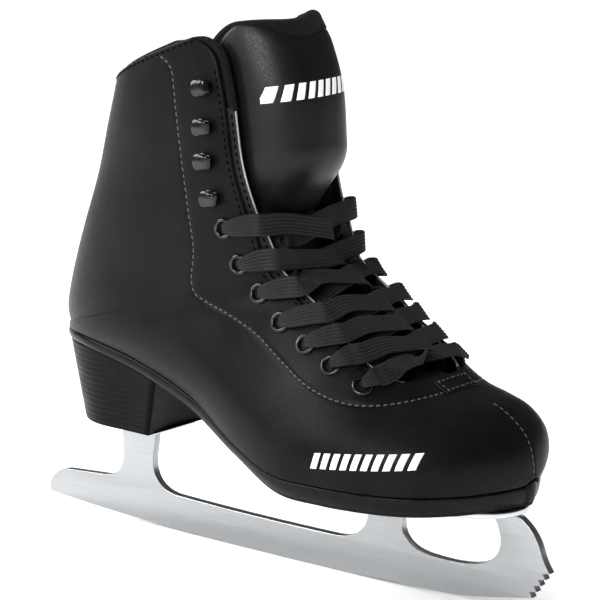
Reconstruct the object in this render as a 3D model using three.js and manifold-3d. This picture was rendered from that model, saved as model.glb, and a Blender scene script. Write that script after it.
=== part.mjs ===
// A right figure skate in size 240 (EU 37 to 38): a lasted leather boot on a moulded sole with a
// stacked heel, laced through seven pairs of eyelets with four pairs of hooks above them, and a
// steel blade screwed under it.  Millimetres.  +X points to the toe, +Y to the inner side of the
// foot (the wearer's left), +Z up.  The blade stands in the plane Y = 0 and touches Z = 0.

import * as THREE from 'three';
import { mergeVertices } from 'three/addons/utils/BufferGeometryUtils.js';
import Module from 'manifold-3d';

const wasm = await Module();
wasm.setup();

// ---- Driving dimensions -------------------------------------------------------------------

const GAP = 0.3; // clearance kept between pieces that touch
const LEATHER = 2.2; // outer leather of the boot
const STIFFENER = 1.5; // heel counter, toe puff and eyestay reinforcement
const LINING = 1.2;
const STIFFENER_DEPTH = LEATHER + GAP; // where each layer starts, inward from the surface
const LINING_DEPTH = STIFFENER_DEPTH + STIFFENER + GAP;
const PAD_DEPTH = LEATHER + 3 * GAP;
const PAD_THICKNESS = 3.5; // padded fabric roll inside the collar
const FACING_WIDTH = 22; // eyestay band behind the leather's edge
const STRIP_REACH = 3.5; // how far the reinforcement shows past the leather at the lacing
const PAD_REACH = 2; // and the collar's padding
const TONGUE_HALF = 28.3; // half width of the tongue, under the lace, and at its end at the throat
const TONGUE_LACED_HALF = 25;
const TONGUE_TOE_HALF = 21;
const TONGUE_TURN = 46; // how far its sides turn back round the leg, and under the lace
const TONGUE_LACED_TURN = 12;
const TONGUE_SQUARE = 2.5; // exponent of its arch
const TONGUE_AHEAD = 2; // how far its free upper end stands ahead of the boot's front line
const TONGUE_UNDER_LACE = 2.2; // and under the line between the leather's edges
const TONGUE_SPLIT = 2.4; // station where its free upper part begins
const COLLAR_CORNER = 16; // radius of the collar's front corners
const COLLAR_RISE = 0.09; // how far the collar roll stands above the leather, in stations

const SOLE_BOTTOM = 44.8; // height of the sole's tread under the ball of the foot
const HEEL_BOTTOM = 51; // height of the heel's underside
const SOLE_AT_WAIST = 5; // sole thickness under the arch and the heel seat
const BOARD = 2.4; // insole board
const FOOTBED = 2;

const HEEL_BACK = -109.5; // ends of the heel's underside
const HEEL_BREAST = -56;
const HEEL_FRONT = 10.3; // station where the heel meets the sole at its breast
const HEEL_NARROWING = 0.86; // width of the heel's underside over that of its top
const BREAST_HOLLOW = 2.8; // how far the breast curves in
const SOLE_SCREWS = [[50, -21], [50, 15], [84, -24], [84, 18], [108, -12], [108, 14]];
const HEEL_SCREWS = [[-95, -8], [-95, 8], [-67, -9.5], [-67, 9.5]];

const BLADE_THICKNESS = 4;
const PLATE = 2.4; // thickness of the sole and heel plates
const ROCKER = 2100; // radius of the blade's rocker, 7 ft
const DRAG_PICK = [142.5, 20.5]; // tips of the largest and of the lowest toe pick
const LAST_PICK = [134.4, 8.6];
const SMALL_PICKS = 4;
const SCREW_DIAMETER = 4;
const SCREW_HEAD = 6.6;
const SCREW_HEAD_HEIGHT = 1;
const SOLE_SCREW_LENGTH = 8.5;
const HEEL_SCREW_LENGTH = 14;

const EYELET_FLANGE = 9;
const EYELET_BORE = 5;
const EYELET_BARREL = 6;
const RIVET = 3;
const HOOK_WIDTH = 6.4;
const HOOK_HEIGHT = 4.8;
const HOOK_METAL = 0.9;
const LACE_WIDTH = 8.8;
const LACE_THICKNESS = 1.1;
const LACE_TILT = 0.6; // how far its face turns to the side over the gap, at the leather's edge
const AGLET_DIAMETER = 2.4;
const AGLET_LENGTH = 18;

// The boot's outer surface is a fan of flat sections.  Each runs from a point on the back of the
// leg or on the sole's edge line (back) to a point on the front of the leg, instep or toe
// (front).  half is the largest half width, widest the fraction of the section where it lies,
// seat the half width at the sole, full how square the front of the section is, lean the
// sideways place of the back and front points, gap the half width of the lacing gap, sole the
// thickness of the outsole under that section.
const STATIONS = [
  { back: [-81, 210], front: [13, 243], half: 39.5, widest: 0.5, seat: 0, full: 0.3, gap: 35.5, sole: 5 },
  { back: [-89, 190], front: [24, 213], half: 39.5, widest: 0.5, seat: 0, full: 0.35, gap: 36, sole: 5 },
  { back: [-97, 167], front: [27, 183], half: 38.5, widest: 0.5, seat: 0, full: 0.5, gap: 35.7, sole: 5 },
  { back: [-107, 143], front: [31, 165], half: 38, widest: 0.48, seat: 0, full: 0.55, gap: 34.3, sole: 5 },
  { back: [-115, 121], front: [37, 154], half: 37.5, widest: 0.45, seat: 0, full: 0.55, gap: 32.8, sole: 5 },
  { back: [-119, 104], front: [43, 146], half: 37, widest: 0.4, seat: 0, full: 0.5, gap: 31.5, sole: 5 },
  { back: [-118, 95.5], front: [46.5, 142], half: 36.5, widest: 0.38, seat: 0, full: 0.5, gap: 31, sole: 5 },
  { back: [-116, 95], front: [49, 139], half: 36.5, widest: 0.36, seat: 10, full: 0.5, gap: 30.5, sole: 5 },
  { back: [-108, 94], front: [52, 135.5], half: 36.5, widest: 0.35, seat: 20, full: 0.5, gap: 30, sole: 5 },
  { back: [-90, 93], front: [57, 130], half: 37, widest: 0.35, seat: 27.5, full: 0.5, gap: 30, sole: 5 },
  { back: [-58, 86.5], front: [63, 123.5], half: 38, widest: 0.35, seat: 29, full: 0.45, gap: 30, sole: 5.5 },
  { back: [-24, 75.5], front: [70, 116], half: 40.5, widest: 0.33, seat: 30,
    full: 0.35, lean: [-2, 0], gap: 30.5, sole: 6 },
  { back: [8, 62], front: [78, 107], half: 45, widest: 0.32, seat: 38,
    full: 0.25, lean: [-4, 1], gap: 30.5, sole: 6 },
  { back: [35, 54.5], front: [86, 98], half: 48.5, widest: 0.3, seat: 45.5,
    full: 0.15, lean: [-4.5, 2], gap: 26, sole: 8.6 },
  { back: [60, 54], front: [94, 91.5], half: 48.8, widest: 0.28, seat: 47.6,
    full: 0.12, lean: [-4, 3], gap: 0, sole: 9.2 },
  { back: [84, 54], front: [103, 88], half: 46.5, widest: 0.28, seat: 45.6,
    full: 0.12, lean: [-3, 4], gap: 0, sole: 9.2 },
  { back: [101, 54], front: [112.5, 85], half: 40.6, widest: 0.28, seat: 39.6,
    full: 0.12, lean: [-2, 5], gap: 0, sole: 9.2 },
  { back: [114, 54], front: [121, 79.5], half: 32, widest: 0.3, seat: 30.5,
    full: 0.12, lean: [1, 5.5], gap: 0, sole: 9.2 },
  { back: [121.5, 54], front: [126.5, 73], half: 22.5, widest: 0.3, seat: 21,
    full: 0.12, lean: [3, 6], gap: 0, sole: 9.2 },
  { back: [126, 54], front: [129.3, 65], half: 12.5, widest: 0.35, seat: 11.5,
    full: 0.1, lean: [4.5, 6], gap: 0, sole: 9.2 },
  { back: [128.2, 54], front: [130, 57], half: 4, widest: 0.5, seat: 3.5,
    full: 0, lean: [5.5, 6], gap: 0, sole: 9.2 },
];
const LAST = STATIONS.length - 1;
const THROAT_BEND = 12.2; // stations where the lacing gap starts to close and where it ends
const THROAT_END = 13.35;
const WIDEST_AT = 0.45; // share of the way round a section given to its rear part
const FRONT_ARC = 136; // mm of surface for one unit of that way round, over the front part

// Places of the fittings on the outer side, seen from the side (X, Z).
const EYELETS = [[71.5, 94.5], [57, 101.5], [43.5, 108.5], [29.5, 116], [17, 126.5], [7, 138], [0.5, 153]];
const HOOKS = [[-5, 165.5], [-8, 181], [-8.5, 195.5], [-9, 212]];

// ---- The boot's surface -------------------------------------------------------------------

// A smooth curve through the stations' values, carried on in a straight line past both ends.
function along(values, u) {
  const i = Math.min(Math.max(Math.floor(u), 0), values.length - 2);
  const f = u - i;
  const [b, c] = [values[i], values[i + 1]];
  if (f < 0 || f > 1) return b + (c - b) * f;
  const a = i > 0 ? values[i - 1] : 2 * b - c;
  const d = i + 2 < values.length ? values[i + 2] : 2 * c - b;
  return b + 0.5 * f * (c - a + f * (2 * a - 5 * b + 4 * c - d + f * (3 * (b - c) + d - a)));
}

const column = (pick) => STATIONS.map(pick);
const COLUMNS = {
  backX: column((s) => s.back[0]),
  backZ: column((s) => s.back[1]),
  frontX: column((s) => s.front[0]),
  frontZ: column((s) => s.front[1]),
  half: column((s) => s.half),
  widest: column((s) => s.widest),
  seat: column((s) => s.seat),
  full: column((s) => s.full),
  backY: column((s) => (s.lean ? s.lean[0] : 0)),
  frontY: column((s) => (s.lean ? s.lean[1] : 0)),
  gap: column((s) => s.gap),
  sole: column((s) => s.sole),
};

function station(u) {
  const values = {};
  for (const [name, list] of Object.entries(COLUMNS)) values[name] = along(list, u);
  values.seat = Math.max(values.seat, 0);
  return values;
}

// How far along the section and how far out to the side the point v lies, v from 0 at the back
// or the sole's edge to 1 at the front.
function profile(s, v) {
  if (v < WIDEST_AT) {
    const angle = (Math.PI / 2) * (v / WIDEST_AT);
    const out = s.seat ** 2 + (s.half ** 2 - s.seat ** 2) * Math.sin(angle) ** 2;
    return [s.widest * (1 - Math.cos(angle)), Math.sqrt(out)];
  }
  const angle = (Math.PI / 2) * ((v - WIDEST_AT) / (1 - WIDEST_AT));
  const out = s.half * Math.cos(angle) * (1 + s.full * Math.sin(angle) ** 2);
  return [s.widest + (1 - s.widest) * Math.sin(angle), out];
}

function bare(u, v, side) {
  const s = station(u);
  const [t, out] = profile(s, v);
  return new THREE.Vector3(
    s.backX + (s.frontX - s.backX) * t,
    s.backY + (s.frontY - s.backY) * t + side * out,
    s.backZ + (s.frontZ - s.backZ) * t,
  );
}

function outward(u, v, side) {
  const step = 0.01;
  const alongU = bare(u + step, v, side).sub(bare(u - step, v, side));
  const [low, high] = [Math.max(v - step, 0.001), Math.min(v + step, 0.999)];
  const alongV = bare(u, high, side).sub(bare(u, low, side));
  return alongV.cross(alongU).multiplyScalar(side).normalize();
}

// The point of the outer (side -1) or inner (side +1) half, depth mm inside the surface and
// never across the boot's middle.
function skin(u, v, side, depth = 0) {
  const point = bare(u, v, side).addScaledVector(outward(u, v, side), -depth);
  const s = station(u);
  const t = profile(s, v)[0];
  const middle = s.backY + (s.frontY - s.backY) * t;
  if (side * (point.y - middle) < GAP / 2) point.y = middle + (side * GAP) / 2;
  return point;
}

// Half width of the lacing gap: it closes in a round throat.
function gapHalf(u) {
  if (u >= THROAT_END) return 0;
  const gap = along(COLUMNS.gap, Math.min(u, THROAT_BEND));
  if (u <= THROAT_BEND) return gap;
  return gap * Math.sqrt(1 - ((u - THROAT_BEND) / (THROAT_END - THROAT_BEND)) ** 2);
}

// The way round the section, v, at which the front part is out mm from the middle.
function frontAt(u, out) {
  const s = station(u);
  let [low, high] = [WIDEST_AT, 1];
  for (let i = 0; i < 40; i += 1) {
    const middle = (low + high) / 2;
    if (profile(s, middle)[1] > out) low = middle;
    else high = middle;
  }
  return low;
}

// The leather's edge at the lacing, with the collar's rounded front corner.
function edgeAt(u) {
  const below = Math.max(0, u) * bare(0, 0.9, -1).distanceTo(bare(1, 0.9, -1));
  const cut = COLLAR_CORNER - Math.min(below, COLLAR_CORNER);
  const corner = COLLAR_CORNER - Math.sqrt(COLLAR_CORNER ** 2 - cut ** 2);
  return frontAt(u, gapHalf(u)) - corner / FRONT_ARC;
}

// The station and the way round of the surface point seen at (x, z) from the side.
function locate(x, z) {
  const miss = (u) => {
    const s = station(u);
    return (s.frontX - s.backX) * (z - s.backZ) - (s.frontZ - s.backZ) * (x - s.backX);
  };
  let [low, high] = [0, LAST];
  for (let i = 0; i < 40; i += 1) {
    const middle = (low + high) / 2;
    if (miss(middle) > 0) high = middle;
    else low = middle;
  }
  const s = station(low);
  const length = Math.hypot(s.frontX - s.backX, s.frontZ - s.backZ);
  const share = (Math.hypot(x - s.backX, z - s.backZ) / length - s.widest) / (1 - s.widest);
  return { u: low, v: WIDEST_AT + (1 - WIDEST_AT) * (Math.asin(Math.min(share, 1)) / (Math.PI / 2)) };
}

// ---- Building closed bodies ---------------------------------------------------------------

const spread = (from, to, count) =>
  Array.from({ length: count + 1 }, (_, i) => from + ((to - from) * i) / count);

// A closed body between two grids of points of the same size, turned so that it faces out.
function between(first, second) {
  const [rows, columns] = [first.length, first[0].length];
  const points = [...first.flat(), ...second.flat()];
  const at = (grid, i, j) => (grid * rows + i) * columns + j;
  const faces = [];
  const quad = (a, b, c, d) => faces.push(a, b, c, a, c, d);
  for (let i = 0; i < rows - 1; i += 1) {
    for (let j = 0; j < columns - 1; j += 1) {
      quad(at(0, i, j), at(0, i, j + 1), at(0, i + 1, j + 1), at(0, i + 1, j));
      quad(at(1, i, j), at(1, i + 1, j), at(1, i + 1, j + 1), at(1, i, j + 1));
    }
    quad(at(0, i, 0), at(0, i + 1, 0), at(1, i + 1, 0), at(1, i, 0));
    const j = columns - 1;
    quad(at(0, i, j), at(1, i, j), at(1, i + 1, j), at(0, i + 1, j));
  }
  for (let j = 0; j < columns - 1; j += 1) {
    quad(at(0, 0, j), at(1, 0, j), at(1, 0, j + 1), at(0, 0, j + 1));
    const i = rows - 1;
    quad(at(0, i, j), at(0, i, j + 1), at(1, i, j + 1), at(1, i, j));
  }
  return facingOut(points, faces);
}

function facingOut(points, faces) {
  let volume = 0;
  const normal = new THREE.Vector3();
  for (let i = 0; i < faces.length; i += 3) {
    const [a, b, c] = [points[faces[i]], points[faces[i + 1]], points[faces[i + 2]]];
    volume += a.dot(normal.crossVectors(b, c));
  }
  if (volume < 0) faces.reverse();
  const geometry = new THREE.BufferGeometry().setFromPoints(points);
  geometry.setIndex(faces);
  return geometry;
}

// A closed body through rings of points, closed round each ring and capped at both ends.
function throughRings(rings) {
  const size = rings[0].length;
  const points = rings.flat();
  const faces = [];
  for (let i = 0; i < rings.length - 1; i += 1) {
    for (let j = 0; j < size; j += 1) {
      const [a, b] = [i * size + j, i * size + ((j + 1) % size)];
      faces.push(a, b, b + size, a, b + size, a + size);
    }
  }
  const last = (rings.length - 1) * size;
  for (let j = 1; j < size - 1; j += 1) {
    faces.push(0, j + 1, j, last, last + j, last + j + 1);
  }
  return facingOut(points, faces);
}

function toSolid(geometry) {
  const copy = geometry.clone();
  for (const name of ['normal', 'uv']) copy.deleteAttribute(name);
  const merged = mergeVertices(copy, 1e-4);
  return new wasm.Manifold(new wasm.Mesh({
    numProp: 3,
    vertProperties: new Float32Array(merged.attributes.position.array),
    triVerts: new Uint32Array(merged.index.array),
  }));
}

function toGeometry(solid) {
  const mesh = solid.getMesh();
  const geometry = new THREE.BufferGeometry();
  geometry.setAttribute('position', new THREE.BufferAttribute(new Float32Array(mesh.vertProperties), 3));
  geometry.setIndex(new THREE.BufferAttribute(new Uint32Array(mesh.triVerts), 1));
  return geometry;
}

const cut = (geometry, tools) =>
  toGeometry(tools.reduce((solid, tool) => solid.subtract(toSolid(tool)), toSolid(geometry)));
const join = ([first, ...others]) =>
  toGeometry(others.reduce((solid, more) => solid.add(toSolid(more)), toSolid(first)));

// A frame on the boot's surface: its Z axis points out of the boot and its Y axis up the boot.
function seatOn(u, v, side, depth = 0) {
  const out = outward(u, v, side);
  const up = bare(u - 0.05, v, side).sub(bare(u + 0.05, v, side));
  up.addScaledVector(out, -up.dot(out)).normalize();
  const frame = new THREE.Matrix4().makeBasis(new THREE.Vector3().crossVectors(up, out), up, out);
  return frame.setPosition(bare(u, v, side).addScaledVector(out, -depth));
}

// A round bar along the frame's Z axis, from low to high.
function bar(diameter, low, high, segments = 10) {
  const geometry = new THREE.CylinderGeometry(diameter / 2, diameter / 2, high - low, segments);
  return geometry.rotateX(Math.PI / 2).translate(0, 0, (low + high) / 2);
}

const skate = new THREE.Group();

const FINISHES = {
  leather: { color: 0x17181a, roughness: 0.42, metalness: 0 },
  edging: { color: 0x5b5d60, roughness: 0.6, metalness: 0 },
  fabric: { color: 0x0c0c0d, roughness: 0.95, metalness: 0 },
  lining: { color: 0x1c1c1f, roughness: 0.9, metalness: 0 },
  board: { color: 0x8a7a62, roughness: 0.9, metalness: 0 },
  stiffener: { color: 0x6d6f72, roughness: 0.7, metalness: 0 },
  rubber: { color: 0x101012, roughness: 0.6, metalness: 0 },
  enamel: { color: 0x08080a, roughness: 0.15, metalness: 0.3 },
  lace: { color: 0x141416, roughness: 0.85, metalness: 0 },
  plastic: { color: 0x1a1a1c, roughness: 0.3, metalness: 0 },
  steel: { color: 0xc6c8ca, roughness: 0.3, metalness: 1 },
};

function add(name, geometry, finish) {
  geometry.deleteAttribute('uv');
  geometry.computeVertexNormals();
  const mesh = new THREE.Mesh(geometry, new THREE.MeshStandardMaterial(FINISHES[finish]));
  mesh.name = name;
  skate.add(mesh);
  return mesh;
}

const SIDES = [{ side: -1, label: 'outer' }, { side: 1, label: 'inner' }];

// ---- Upper --------------------------------------------------------------------------------

// The holes through every layer at the eyelets and hooks of one side.
function fittingHoles(side) {
  const holes = [];
  for (const [places, diameter, sides] of [[EYELETS, EYELET_BARREL + 0.8, 8], [HOOKS, RIVET + 0.9, 6]]) {
    for (const [x, z] of places) {
      const { u, v } = locate(x, z);
      holes.push(bar(diameter, -12, 4, sides).applyMatrix4(seatOn(u, v, side)));
    }
  }
  return holes;
}

// One layer of the boot over part of its surface: rows are stations, and ways(u) gives the ways
// round at which that row has its points.
function layer(rows, side, depth, thickness, ways) {
  const grid = (inset) => rows.map((u) => ways(u).map((v) => skin(u, v, side, inset)));
  return between(grid(depth), grid(depth + thickness));
}

const bandStart = (u) => edgeAt(u) - FACING_WIDTH / FRONT_ARC; // rear edge of the eyestay band
const bodyWays = (u) => spread(0, bandStart(u), 7);
const bandWays = (u) => [bandStart(u), (bandStart(u) + edgeAt(u)) / 2, edgeAt(u)];

const SHAFT_ROWS = [1.2, 1.7, 2.3, 3, 3.6, 4.2, 4.8, 5.4, 6, 7, 8, 9, 10, 11, 11.7, 12.2];
const COLLAR_ROWS = [0, 0.12, 0.3];
const THROAT_ROWS = [12.6, 12.95, 13.2, 13.31, THROAT_END];
const TOE_ROWS = [15.4, 16.2, 17, 17.6, 18.2, 18.8];
const QUARTER_ROWS = [
  ...COLLAR_ROWS, 0.6, ...SHAFT_ROWS, ...THROAT_ROWS, 13.8, 14.6, ...TOE_ROWS, 19.4, LAST,
];

function quarter(side) {
  const sheet = layer(QUARTER_ROWS, side, 0, LEATHER, (u) => [...bodyWays(u), ...bandWays(u).slice(1)]);
  return cut(sheet, fittingHoles(side));
}

// Reinforcement under the eyelets and hooks; its lip shows past the leather's edge.
function facing(side) {
  const ways = (u) => [...bandWays(u), edgeAt(u) + STRIP_REACH / FRONT_ARC];
  return cut(layer([0.6, ...SHAFT_ROWS], side, STIFFENER_DEPTH, STIFFENER, ways), fittingHoles(side));
}

function liningHalf(side) {
  return layer(SHAFT_ROWS.slice(1), side, LINING_DEPTH, LINING, bodyWays);
}

// A strip right round the boot: across the back seam (v = 0) from one side to the other.
function roundTheBack(rows, depth, thickness, ways) {
  const grid = (inset) => rows.map((u) => {
    const outer = ways(u).map((v) => skin(u, v, -1, inset)).reverse();
    const inner = ways(u).map((v) => skin(u, v, 1, inset));
    return [...outer, ...inner];
  });
  return between(grid(depth), grid(depth + thickness));
}

// Padded roll round the top of the leg, down both front corners to the second hook.
function collarPad() {
  const ways = (u) => [...bodyWays(u), ...bandWays(u).slice(1), edgeAt(u) + PAD_REACH / FRONT_ARC];
  return roundTheBack([-COLLAR_RISE, ...COLLAR_ROWS, 0.57], PAD_DEPTH, PAD_THICKNESS, ways);
}

function heelCounter() {
  const ways = (u) => bodyWays(u).slice(0, 5);
  return roundTheBack([3.6, 4.2, 4.8, 5.4, 6], STIFFENER_DEPTH, STIFFENER, ways);
}

function toePuff() {
  const across = spread(0.25, 0.97, 6);
  const grid = (inset) => TOE_ROWS.map((u) => [
    ...across.map((v) => skin(u, v, -1, inset)),
    ...across.map((v) => skin(u, v, 1, inset)).reverse(),
  ]);
  return between(grid(STIFFENER_DEPTH + GAP), grid(STIFFENER_DEPTH + GAP + STIFFENER));
}

// Tab sewn across the centre seam just below the throat.
function throatTab() {
  const rows = spread(THROAT_END + 0.12, THROAT_END + 1, 3);
  const grid = (inset) => rows.map((u) => [
    ...[0.93, 0.99].map((v) => skin(u, v, -1, inset)),
    ...[0.99, 0.93].map((v) => skin(u, v, 1, inset)),
  ]);
  return between(grid(-0.6), grid(-1.6));
}

for (const { side, label } of SIDES) {
  add(`quarter_${label}`, quarter(side), 'leather');
  add(`facing_${label}`, facing(side), 'edging');
  add(`lining_${label}`, liningHalf(side), 'lining');
}
add('collar_padding', collarPad(), 'fabric');
add('heel_counter', heelCounter(), 'stiffener');
add('toe_puff', toePuff(), 'stiffener');
add('throat_tab', throatTab(), 'leather');

// ---- Sole, heel and insole ----------------------------------------------------------------

// A slab under the foot between two heights over the sole's edge line, inset from that line.
function footSlab(rows, low, high, inset, across = 2) {
  const grid = (height) => rows.map((u) => {
    const s = station(u);
    const half = Math.max(s.seat - inset, 0.8);
    return spread(-1, 1, across).map((f) => new THREE.Vector3(s.backX, s.backY + f * half, s.backZ + height));
  });
  return between(grid(low), grid(high));
}

// Holes for screws of the given length, from under a face at height z.
function screwHoles(places, z, length) {
  const deep = z + length - PLATE - 2 * GAP + 2;
  return places.map(([x, y]) => bar(SCREW_DIAMETER + 0.8, z - 5, deep, 8).translate(x, y, 0));
}

const FOOT_ROWS = [8.4, 9, 10, 11, 11.7, 12.4, 13, 13.8, 14.6, 15.4, 16.2, 17, 17.4];

// The tread is narrower than the edge line by this much: little at the heel, more at the ball.
const undercut = (u) => 0.8 + 2.7 * THREE.MathUtils.smoothstep(u, 11, 13);

function treadLine(u, across) {
  const s = station(u);
  const half = Math.max(s.seat - undercut(u), 0.6);
  return spread(-1, 1, across).map((f) => new THREE.Vector3(s.backX, s.backY + f * half, s.backZ - s.sole));
}

const SOLE_ROWS = [
  6.3, 6.6, 7, 7.5, 8, 9, 10, HEEL_FRONT, 11, 11.7, 12.4, 13, 13.5, 14, 14.6, ...TOE_ROWS, 19.4, LAST,
];

function outsole() {
  const top = SOLE_ROWS.map((u) => {
    const s = station(u);
    const half = Math.max(s.seat - 0.3, 0.8);
    return spread(-1, 1, 4).map((f) => new THREE.Vector3(s.backX, s.backY + f * half, s.backZ - GAP));
  });
  const slab = between(top, SOLE_ROWS.map((u) => treadLine(u, 4)));
  return cut(slab, screwHoles(SOLE_SCREWS, SOLE_BOTTOM, SOLE_SCREW_LENGTH));
}

// The heel narrows downwards from the outsole to its flat underside, with a hollow breast.
function heelBlock() {
  const rows = SOLE_ROWS.filter((u) => u <= HEEL_FRONT);
  const [rear, breast] = [station(rows[0]).backX, station(HEEL_FRONT).backX];
  const top = rows.map((u) => treadLine(u, 6).map((point) => point.setZ(point.z - GAP)));
  for (const [j, point] of top[top.length - 1].entries()) {
    const hollow = BREAST_HOLLOW * Math.sin((Math.PI * j) / 6);
    point.x -= hollow;
    point.z += hollow * 0.2;
  }
  const taper = (HEEL_BREAST - HEEL_BACK) / (breast - rear);
  const bottom = top.map((row) => row.map((point) =>
    new THREE.Vector3(HEEL_BREAST + (point.x - breast) * taper, point.y * HEEL_NARROWING, HEEL_BOTTOM)));
  return cut(between(top, bottom), screwHoles(HEEL_SCREWS, HEEL_BOTTOM, HEEL_SCREW_LENGTH));
}

add('outsole', outsole(), 'rubber');
add('heel_block', heelBlock(), 'rubber');
add('shank', footSlab([9.2, 10, 11, 11.7, 12.2], 0.3, 1.5, 22), 'steel');
add('sole_filler', footSlab(FOOT_ROWS.filter((u) => u > 12.3), 0.3, 1.5, 9), 'board');
add('insole_board', footSlab(FOOT_ROWS, 1.8, 1.8 + BOARD, 6.6), 'board');
add('footbed', footSlab(FOOT_ROWS.slice(1), 4.5, 4.5 + FOOTBED, 8), 'lining');

// ---- Tongue -------------------------------------------------------------------------------

// The line across the lacing gap at a station: the leather's two edges, the point midway, and the
// direction out of the boot there.
function gapLine(u) {
  const edge = (at, side) => bare(at, edgeAt(at), side);
  const middle = (at) => edge(at, -1).add(edge(at, 1)).multiplyScalar(0.5);
  const up = middle(u - 0.1).sub(middle(u + 0.1)).setY(0).normalize();
  return { edge: (side) => edge(u, side), middle: middle(u), out: new THREE.Vector3(up.z, 0, -up.x) };
}

// One layer of the tongue, depth mm under its face.  Across each section it is an arch that turns
// down at both sides.  The upper part follows the front of the leg, and the part under the lace
// lies just below the line from edge to edge.
function tongueLayer(rows, depth, thickness) {
  const across = [-1, -0.92, -0.7, -0.37, 0, 0.37, 0.7, 0.92, 1];
  const grid = (inset) => rows.map((u) => {
    const s = station(u);
    const laced = THREE.MathUtils.smoothstep(u, 2.1, 3.5);
    const line = gapLine(Math.max(u, 0.7));
    const ahead = new THREE.Vector3(s.frontX - s.backX, 0, (s.frontZ - s.backZ) * 0.5).normalize();
    const crest = new THREE.Vector3(s.frontX, s.frontY, s.frontZ).addScaledVector(ahead, TONGUE_AHEAD);
    crest.lerp(line.middle.clone().addScaledVector(line.out, -TONGUE_UNDER_LACE), laced);
    const out = ahead.lerp(line.out, laced).normalize();
    const lower = THREE.MathUtils.lerp(TONGUE_LACED_HALF, TONGUE_TOE_HALF, Math.max(0, u - 9) / 4);
    const half = THREE.MathUtils.lerp(TONGUE_HALF, lower, laced);
    const tucked = THREE.MathUtils.smoothstep(u, 2.5, 3.6);
    const turn = THREE.MathUtils.lerp(TONGUE_TURN, TONGUE_LACED_TURN, tucked);
    const arch = (f) => 1 - (1 - 0.96 * Math.abs(f) ** TONGUE_SQUARE) ** (1 / TONGUE_SQUARE);
    return across.map((f) => crest.clone()
      .addScaledVector(out, -inset - turn * arch(f))
      .add(new THREE.Vector3(0, f * (half - inset * 0.5), 0)));
  });
  return between(grid(depth), grid(depth + thickness));
}

const FLAP_ROWS = [0, 0.35, 0.8, 1.4, 1.9, TONGUE_SPLIT - 0.02];
const ROOT_ROWS = [TONGUE_SPLIT, 2.7, 3, 3.3, 3.6, 4.2, 5, 6, 7, 8, 9, 10, 11, 12, 12.7, 13.1];

add('tongue_face_lower', tongueLayer(ROOT_ROWS, 0, 1.4), 'leather');
add('tongue_padding_lower', tongueLayer(ROOT_ROWS, 1.7, 4), 'fabric');
add('tongue_face_upper', tongueLayer(FLAP_ROWS, 0, 1.4), 'leather');
add('tongue_padding_upper', tongueLayer(FLAP_ROWS, 1.7, 4), 'fabric');

// ---- Eyelets, hooks and lace --------------------------------------------------------------

const FITTING_BACK = -(STIFFENER_DEPTH + STIFFENER + 3 * GAP); // clear of the reinforcement's back

// A turned piece about the frame's Z axis from its profile of (radius, height).
function turned(profilePoints, segments) {
  const points = profilePoints.map(([r, z]) => new THREE.Vector2(r, z));
  return new THREE.LatheGeometry(points, segments).rotateX(Math.PI / 2);
}

// A rolled ring with its barrel through the layers and a clinched rim behind them.
function eyelet() {
  const [bore, barrel, rim] = [EYELET_BORE / 2, EYELET_BARREL / 2, EYELET_FLANGE / 2];
  const flange = [[bore, 1], [(bore + rim) / 2, 1.5], [rim, 0.5], [barrel, 0.4]];
  const clinch = [[barrel, FITTING_BACK], [rim - 0.5, FITTING_BACK - 0.3], [bore, FITTING_BACK - 0.8]];
  return turned([...flange, ...clinch, [bore, 1]].reverse(), 8);
}

// A riveted hook, open towards the back of the boot.
function hook(side) {
  const [bend, foot] = [1.4, 0.4]; // where the metal turns over, and the height of its underside
  const [outside, inside] = [HOOK_HEIGHT / 2, HOOK_HEIGHT / 2 - HOOK_METAL];
  const middle = foot + outside;
  const outline = new THREE.Shape();
  outline.moveTo(-HOOK_WIDTH / 2 - 0.8, foot);
  outline.lineTo(bend, foot);
  outline.absarc(bend, middle, outside, -Math.PI / 2, Math.PI / 2);
  outline.lineTo(-HOOK_WIDTH / 2, middle + outside);
  outline.lineTo(-HOOK_WIDTH / 2, middle + inside);
  outline.lineTo(bend, middle + inside);
  outline.absarc(bend, middle, inside, Math.PI / 2, -Math.PI / 2, true);
  outline.lineTo(-HOOK_WIDTH / 2 - 0.8, middle - inside);
  const options = { depth: HOOK_WIDTH, bevelEnabled: false, curveSegments: 3 };
  const metal = new THREE.ExtrudeGeometry(outline, options);
  metal.translate(0, 0, -HOOK_WIDTH / 2).rotateX(Math.PI / 2);
  const rivet = bar(RIVET, FITTING_BACK - 1, 1, 6);
  const washer = bar(2 * RIVET, FITTING_BACK - 1.2, FITTING_BACK, 8);
  const shape = join([metal, rivet, washer]);
  if (side > 0) shape.rotateZ(Math.PI);
  return shape;
}

function addFitting(name, geometry, [x, z], side, finish) {
  const { u, v } = locate(x, z);
  const mesh = add(name, geometry, finish);
  mesh.applyMatrix4(seatOn(u, v, side));
}

for (const { side, label } of SIDES) {
  EYELETS.forEach((place, i) => addFitting(`eyelet_${label}_${i + 1}`, eyelet(), place, side, 'enamel'));
  HOOKS.forEach((place, i) => addFitting(`hook_${label}_${i + 1}`, hook(side), place, side, 'enamel'));
}

// A point of the lace's route: u along the boot, side, way round as mm past (+, over the gap)
// or short of (-) the leather's edge, height above the surface, width of the folded lace.
function overLeather(u, side, past, height, width = LACE_WIDTH) {
  const v = edgeAt(u) + past / FRONT_ARC;
  const out = outward(u, v, side);
  return { point: bare(u, v, side).addScaledVector(out, height), face: out, width };
}

// A point over the gap: across runs from 0 at the middle to 1 at the leather's edge, and height is
// over the line between the two edges.
function overGap(u, side, across, height) {
  const line = gapLine(u);
  const point = line.middle.clone().lerp(line.edge(side), across).addScaledVector(line.out, height);
  const face = line.out.clone().add(new THREE.Vector3(0, side * across * LACE_TILT, 0)).normalize();
  return { point, face, width: LACE_WIDTH };
}

const eyeletPlaces = EYELETS.map(([x, z]) => locate(x, z));

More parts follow.
